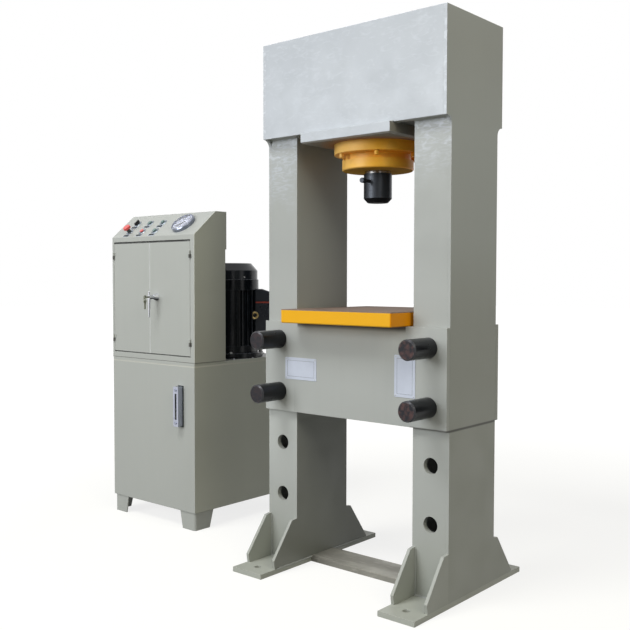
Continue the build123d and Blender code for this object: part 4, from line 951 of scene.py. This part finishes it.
def motor_details():
    """Flange bolts, cover and lid screws, pale rings painted as highlights on the seam and the flange's
    top edge, and the terminal box's gasket and gland.
    """
    housing_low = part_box("motor_housing")[0]
    cover_low, cover_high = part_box("fan_cover")
    centre = Vector((*motor_axis, 0))
    cover_r = (cover_high.x - cover_low.x) / 2
    bolt_circle_r = 0.139
    flange_t = 0.014
    flange_r = 0.150
    rim_r = flange_r + 0.0016
    bm = bmesh.new()
    for i in range(4):
        a = radians(45 + 90 * i)
        out = Vector((cos(a), sin(a), 0))
        spot = centre + out * bolt_circle_r + Vector((0, 0, housing_low.z + flange_t))
        hex_bolt(bm, spot, (0, 0, 1), 0.0095)
    for i in range(4):
        a = radians(-15 + 90 * i)
        out = Vector((cos(a), sin(a), 0))
        spot = centre + out * cover_r + Vector((0, 0, cover_low.z + 0.012))
        slotted_screw(bm, spot, out, 0.0045)
    turned_box = Matrix.Translation(centre) @ Matrix.Rotation(radians(45), 4, "Z")
    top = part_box("terminal_box")[1].z
    for reach, drop in ((0.116, 0.0), (0.204, 0.0212)):
        for y in (-0.041, 0.041):
            spot = turned_box @ Vector((reach, y, top - drop - 0.0006))
            socket_screw(bm, spot, (0, 0, 1), 0.0040, 0.0030)
    piece("motor_screws", bm, "bare", "frame")
    # Painted highlights: pale rings on the fan cover's seam and the flange's top edge.
    bm = bmesh.new()
    inner_r = cover_r + 0.0002
    seam_r = 0.1296
    seam = [(inner_r, 0), (seam_r, 0), (seam_r, 0.0006), (inner_r, 0.0014), (inner_r, 0)]
    lathe(bm, seam, Matrix.Translation(centre + Vector((0, 0, cover_low.z + 0.0001))), 64)
    rim = [
        (rim_r, 0), (flange_r, 0), (flange_r, 0.0010), (flange_r + 0.0008, 0.0010), (rim_r, 0.0002),
        (rim_r, 0),
    ]
    rim_z = housing_low.z + flange_t - 0.0006
    lathe(bm, rim, Matrix.Translation(centre + Vector((0, 0, rim_z))), 64)
    piece("seam_and_rim_highlights", bm, "highlight_rings", "frame")
    bm = bmesh.new()
    slab(bm, (0.108, -0.0486, 0.9874), (0.2136, 0.0486, 0.9956), 0.0006, turned_box)
    piece("terminal_box_gasket", bm, "gasket", "frame")
    bm = bmesh.new()
    nut = turned_box @ Vector((0.1115, -0.0618, 0.931))
    nut = aimed(nut, turned_box.to_3x3() @ Vector((0, -1, 0)))
    ring = [
        (0.0092, -0.006), (0.0092, 0.0006), (0.0102, 0.0016), (0.0150, 0.0016), (0.0172, 0.0004),
        (0.0172, -0.006),
    ]
    lathe(bm, ring, nut, 24)
    piece("cable_gland_rim", bm, "brass", "frame")


def panel_labels():
    """A pale label plate with a dark blank field under each control, and a thin collar round it."""
    bm = bmesh.new()
    fields = bmesh.new()
    collars = bmesh.new()
    collar = [(0.0146, 0.0), (0.0146, 0.0024), (0.0182, 0.0018), (0.0196, 0.0008), (0.0196, 0.0)]
    for x, s in control_places:
        plate(bm, panel_matrix(x, s - label_drop), 0.040, 0.015, plate_t, 0.0015)
        field = panel_matrix(x, s - label_drop, plate_t)
        plate(fields, field, 0.037, 0.012, 0.0002, 0.0008, 0.00005)
        lathe(collars, collar, panel_matrix(x, s), 40)
    piece("control_collars", collars, "bezel", "frame")
    piece("control_label_plates", bm, "plate", "frame")
    piece("control_label_fields", fields, "label", "frame")


def gauge_dial():
    """Pale dial with ticks, plain numbers and a red limit mark."""
    bm = bmesh.new()
    centre = panel_matrix(*gauge_place)
    dial_r = 0.0495
    dial_t = 0.0004
    number_r = 0.0345
    tick_r = 0.0465
    tick_count = 50
    lathe(bm, [(dial_r, 0.0), (dial_r, dial_t), (0, dial_t)], centre, 64)
    piece("gauge_dial", bm, "white", "frame")
    bm = bmesh.new()
    for i in range(tick_count + 1):
        a = radians(225 - 270 * i / tick_count)
        length, half = (0.0055, 0.00040) if i % 5 == 0 else (0.003, 0.00020)
        matrix = centre @ Matrix.Rotation(a, 4, "Z")
        slab(bm, (tick_r - length, -half, dial_t), (tick_r, half, dial_t + 0.0002), 0, matrix)
    for i in range(6):
        a = radians(225 - 270 * i / 5)
        spot = centre @ Matrix.Translation((number_r * cos(a), number_r * sin(a), 0.0005))
        number(bm, str(10 * i), 0.0085, spot)
    piece("gauge_ticks", bm, "ink", "frame")
    bm = bmesh.new()
    matrix = centre @ Matrix.Rotation(radians(-18), 4, "Z")
    slab(bm, (0.040, -0.0006, 0.0006), (0.0485, 0.0006, 0.0009), 0, matrix)
    piece("gauge_limit_mark", bm, "red", "frame")


# Camera, light and floor
def add_camera():
    yaw = radians(camera_yaw)
    pitch = radians(camera_pitch)
    roll = radians(camera_roll)
    ahead = Vector((-sin(yaw) * cos(pitch), cos(yaw) * cos(pitch), -sin(pitch)))
    right = Vector((cos(yaw), sin(yaw), 0))
    up = right.cross(ahead)
    right_rolled = right * cos(roll) + up * sin(roll)
    up_rolled = up * cos(roll) - right * sin(roll)
    matrix = Matrix((right_rolled, up_rolled, -ahead)).transposed().to_4x4()
    matrix.translation = camera_place
    data = bpy.data.cameras.new("photo_camera")
    data.lens = camera_lens
    data.sensor_width = sensor_width
    data.clip_end = 100
    camera = bpy.data.objects.new("photo_camera", data)
    camera.matrix_world = matrix
    bpy.context.scene.collection.objects.link(camera)
    bpy.context.scene.camera = camera


def add_lamp(name, place, target, size, power, colour=(1, 1, 1)):
    data = bpy.data.lights.new(name, "AREA")
    data.shape = "RECTANGLE"
    data.size, data.size_y = size
    data.energy = power
    data.color = colour
    lamp = bpy.data.objects.new(name, data)
    lamp.matrix_world = aimed(Vector(place), Vector(place) - Vector(target))
    bpy.context.scene.collection.objects.link(lamp)


def add_flag(name, place, target, width, height):
    """Black studio card that only reflections see, so that bright metal shows some dark."""
    bm = bmesh.new()
    matrix = aimed(Vector(place), Vector(place) - Vector(target))
    slab(bm, (-width / 2, -height / 2, -0.01), (width / 2, height / 2, 0.01), 0.0, matrix)
    mesh = bpy.data.meshes.new(name)
    bm.to_mesh(mesh)
    bm.free()
    mesh.materials.append(looks["flag"])
    flag = bpy.data.objects.new(name, mesh)
    flag.visible_camera = False
    flag.visible_diffuse = False
    flag.visible_shadow = False
    flag.visible_transmission = False
    bpy.context.scene.collection.objects.link(flag)


def add_floor():
    """Pale floor, white to the camera wherever no shadow lies."""
    bm = bmesh.new()
    bmesh.ops.create_grid(bm, x_segments=2, y_segments=2, size=30.0)
    mesh = bpy.data.meshes.new("floor")
    bm.to_mesh(mesh)
    bm.free()
    floor = bpy.data.objects.new("floor", mesh)
    floor.location = (0, 0, -0.0005)
    bpy.context.scene.collection.objects.link(floor)
    g = Graph("pale_floor", roughness=0.9, Specular_IOR_Level=0.0)
    g.set("Base Color", (0.23, 0.226, 0.20, 1.0))
    path = g.add("ShaderNodeLightPath", {}).outputs
    seen = g.most(g.most(path["Is Camera Ray"], path["Is Glossy Ray"]), path["Is Transmission Ray"])
    white = g.span(g.from_centre(), 1.6, 4.5, 0.80, 1.0)
    g.set("Emission Color", (1, 1, 1, 1))
    g.set("Emission Strength", g.times(seen, white))
    mesh.materials.append(g.material)


def add_world():
    """White to camera, glossy and glass rays, softer as a light."""
    world = bpy.data.worlds.new("studio")
    bpy.context.scene.world = world
    world.use_nodes = True
    tree = world.node_tree
    background = tree.nodes["Background"]
    background.inputs["Color"].default_value = (1, 1, 1, 1)
    path = tree.nodes.new("ShaderNodeLightPath")
    seen = path.outputs["Is Camera Ray"]
    for kind in ("Is Glossy Ray", "Is Transmission Ray"):
        either = tree.nodes.new("ShaderNodeMath")
        either.operation = "MAXIMUM"
        tree.links.new(seen, either.inputs[0])
        tree.links.new(path.outputs[kind], either.inputs[1])
        seen = either.outputs[0]
    strength = tree.nodes.new("ShaderNodeMapRange")
    strength.inputs["To Min"].default_value = 0.27
    strength.inputs["To Max"].default_value = 1.0
    tree.links.new(seen, strength.inputs["Value"])
    tree.links.new(strength.outputs[0], background.inputs["Strength"])


add_camera()
add_world()
add_floor()
add_lamp("key", (-3.2, -7.9, 3.4), (-0.4, 0, 1.1), (4.6, 3.6), 374, (0.96, 0.985, 1.0))
add_lamp("top", (-0.8, -2.8, 5.2), (-0.5, 0, 1.0), (2.2, 1.6), 146, (0.98, 0.99, 1.0))
add_lamp("fill", (3.7, -1.6, 3.6), (0, 0, 1.4), (2.4, 2.4), 68, (1.0, 0.965, 0.78))
add_flag("right_flag", (4.2, 3.4, 1.6), (-0.5, 0, 1.0), 5.0, 4.0)
add_flag("camera_flag", (3.4, -5.4, 1.4), (-0.5, 0, 1.0), 3.4, 3.0)
frame_welds()
blank_plates()
nose_knurl()
tank_bolts()
rear_cover_screws()
level_gauge_details()
motor_details()
panel_labels()
gauge_dial()

bpy.context.scene.view_settings.view_transform = "Standard"
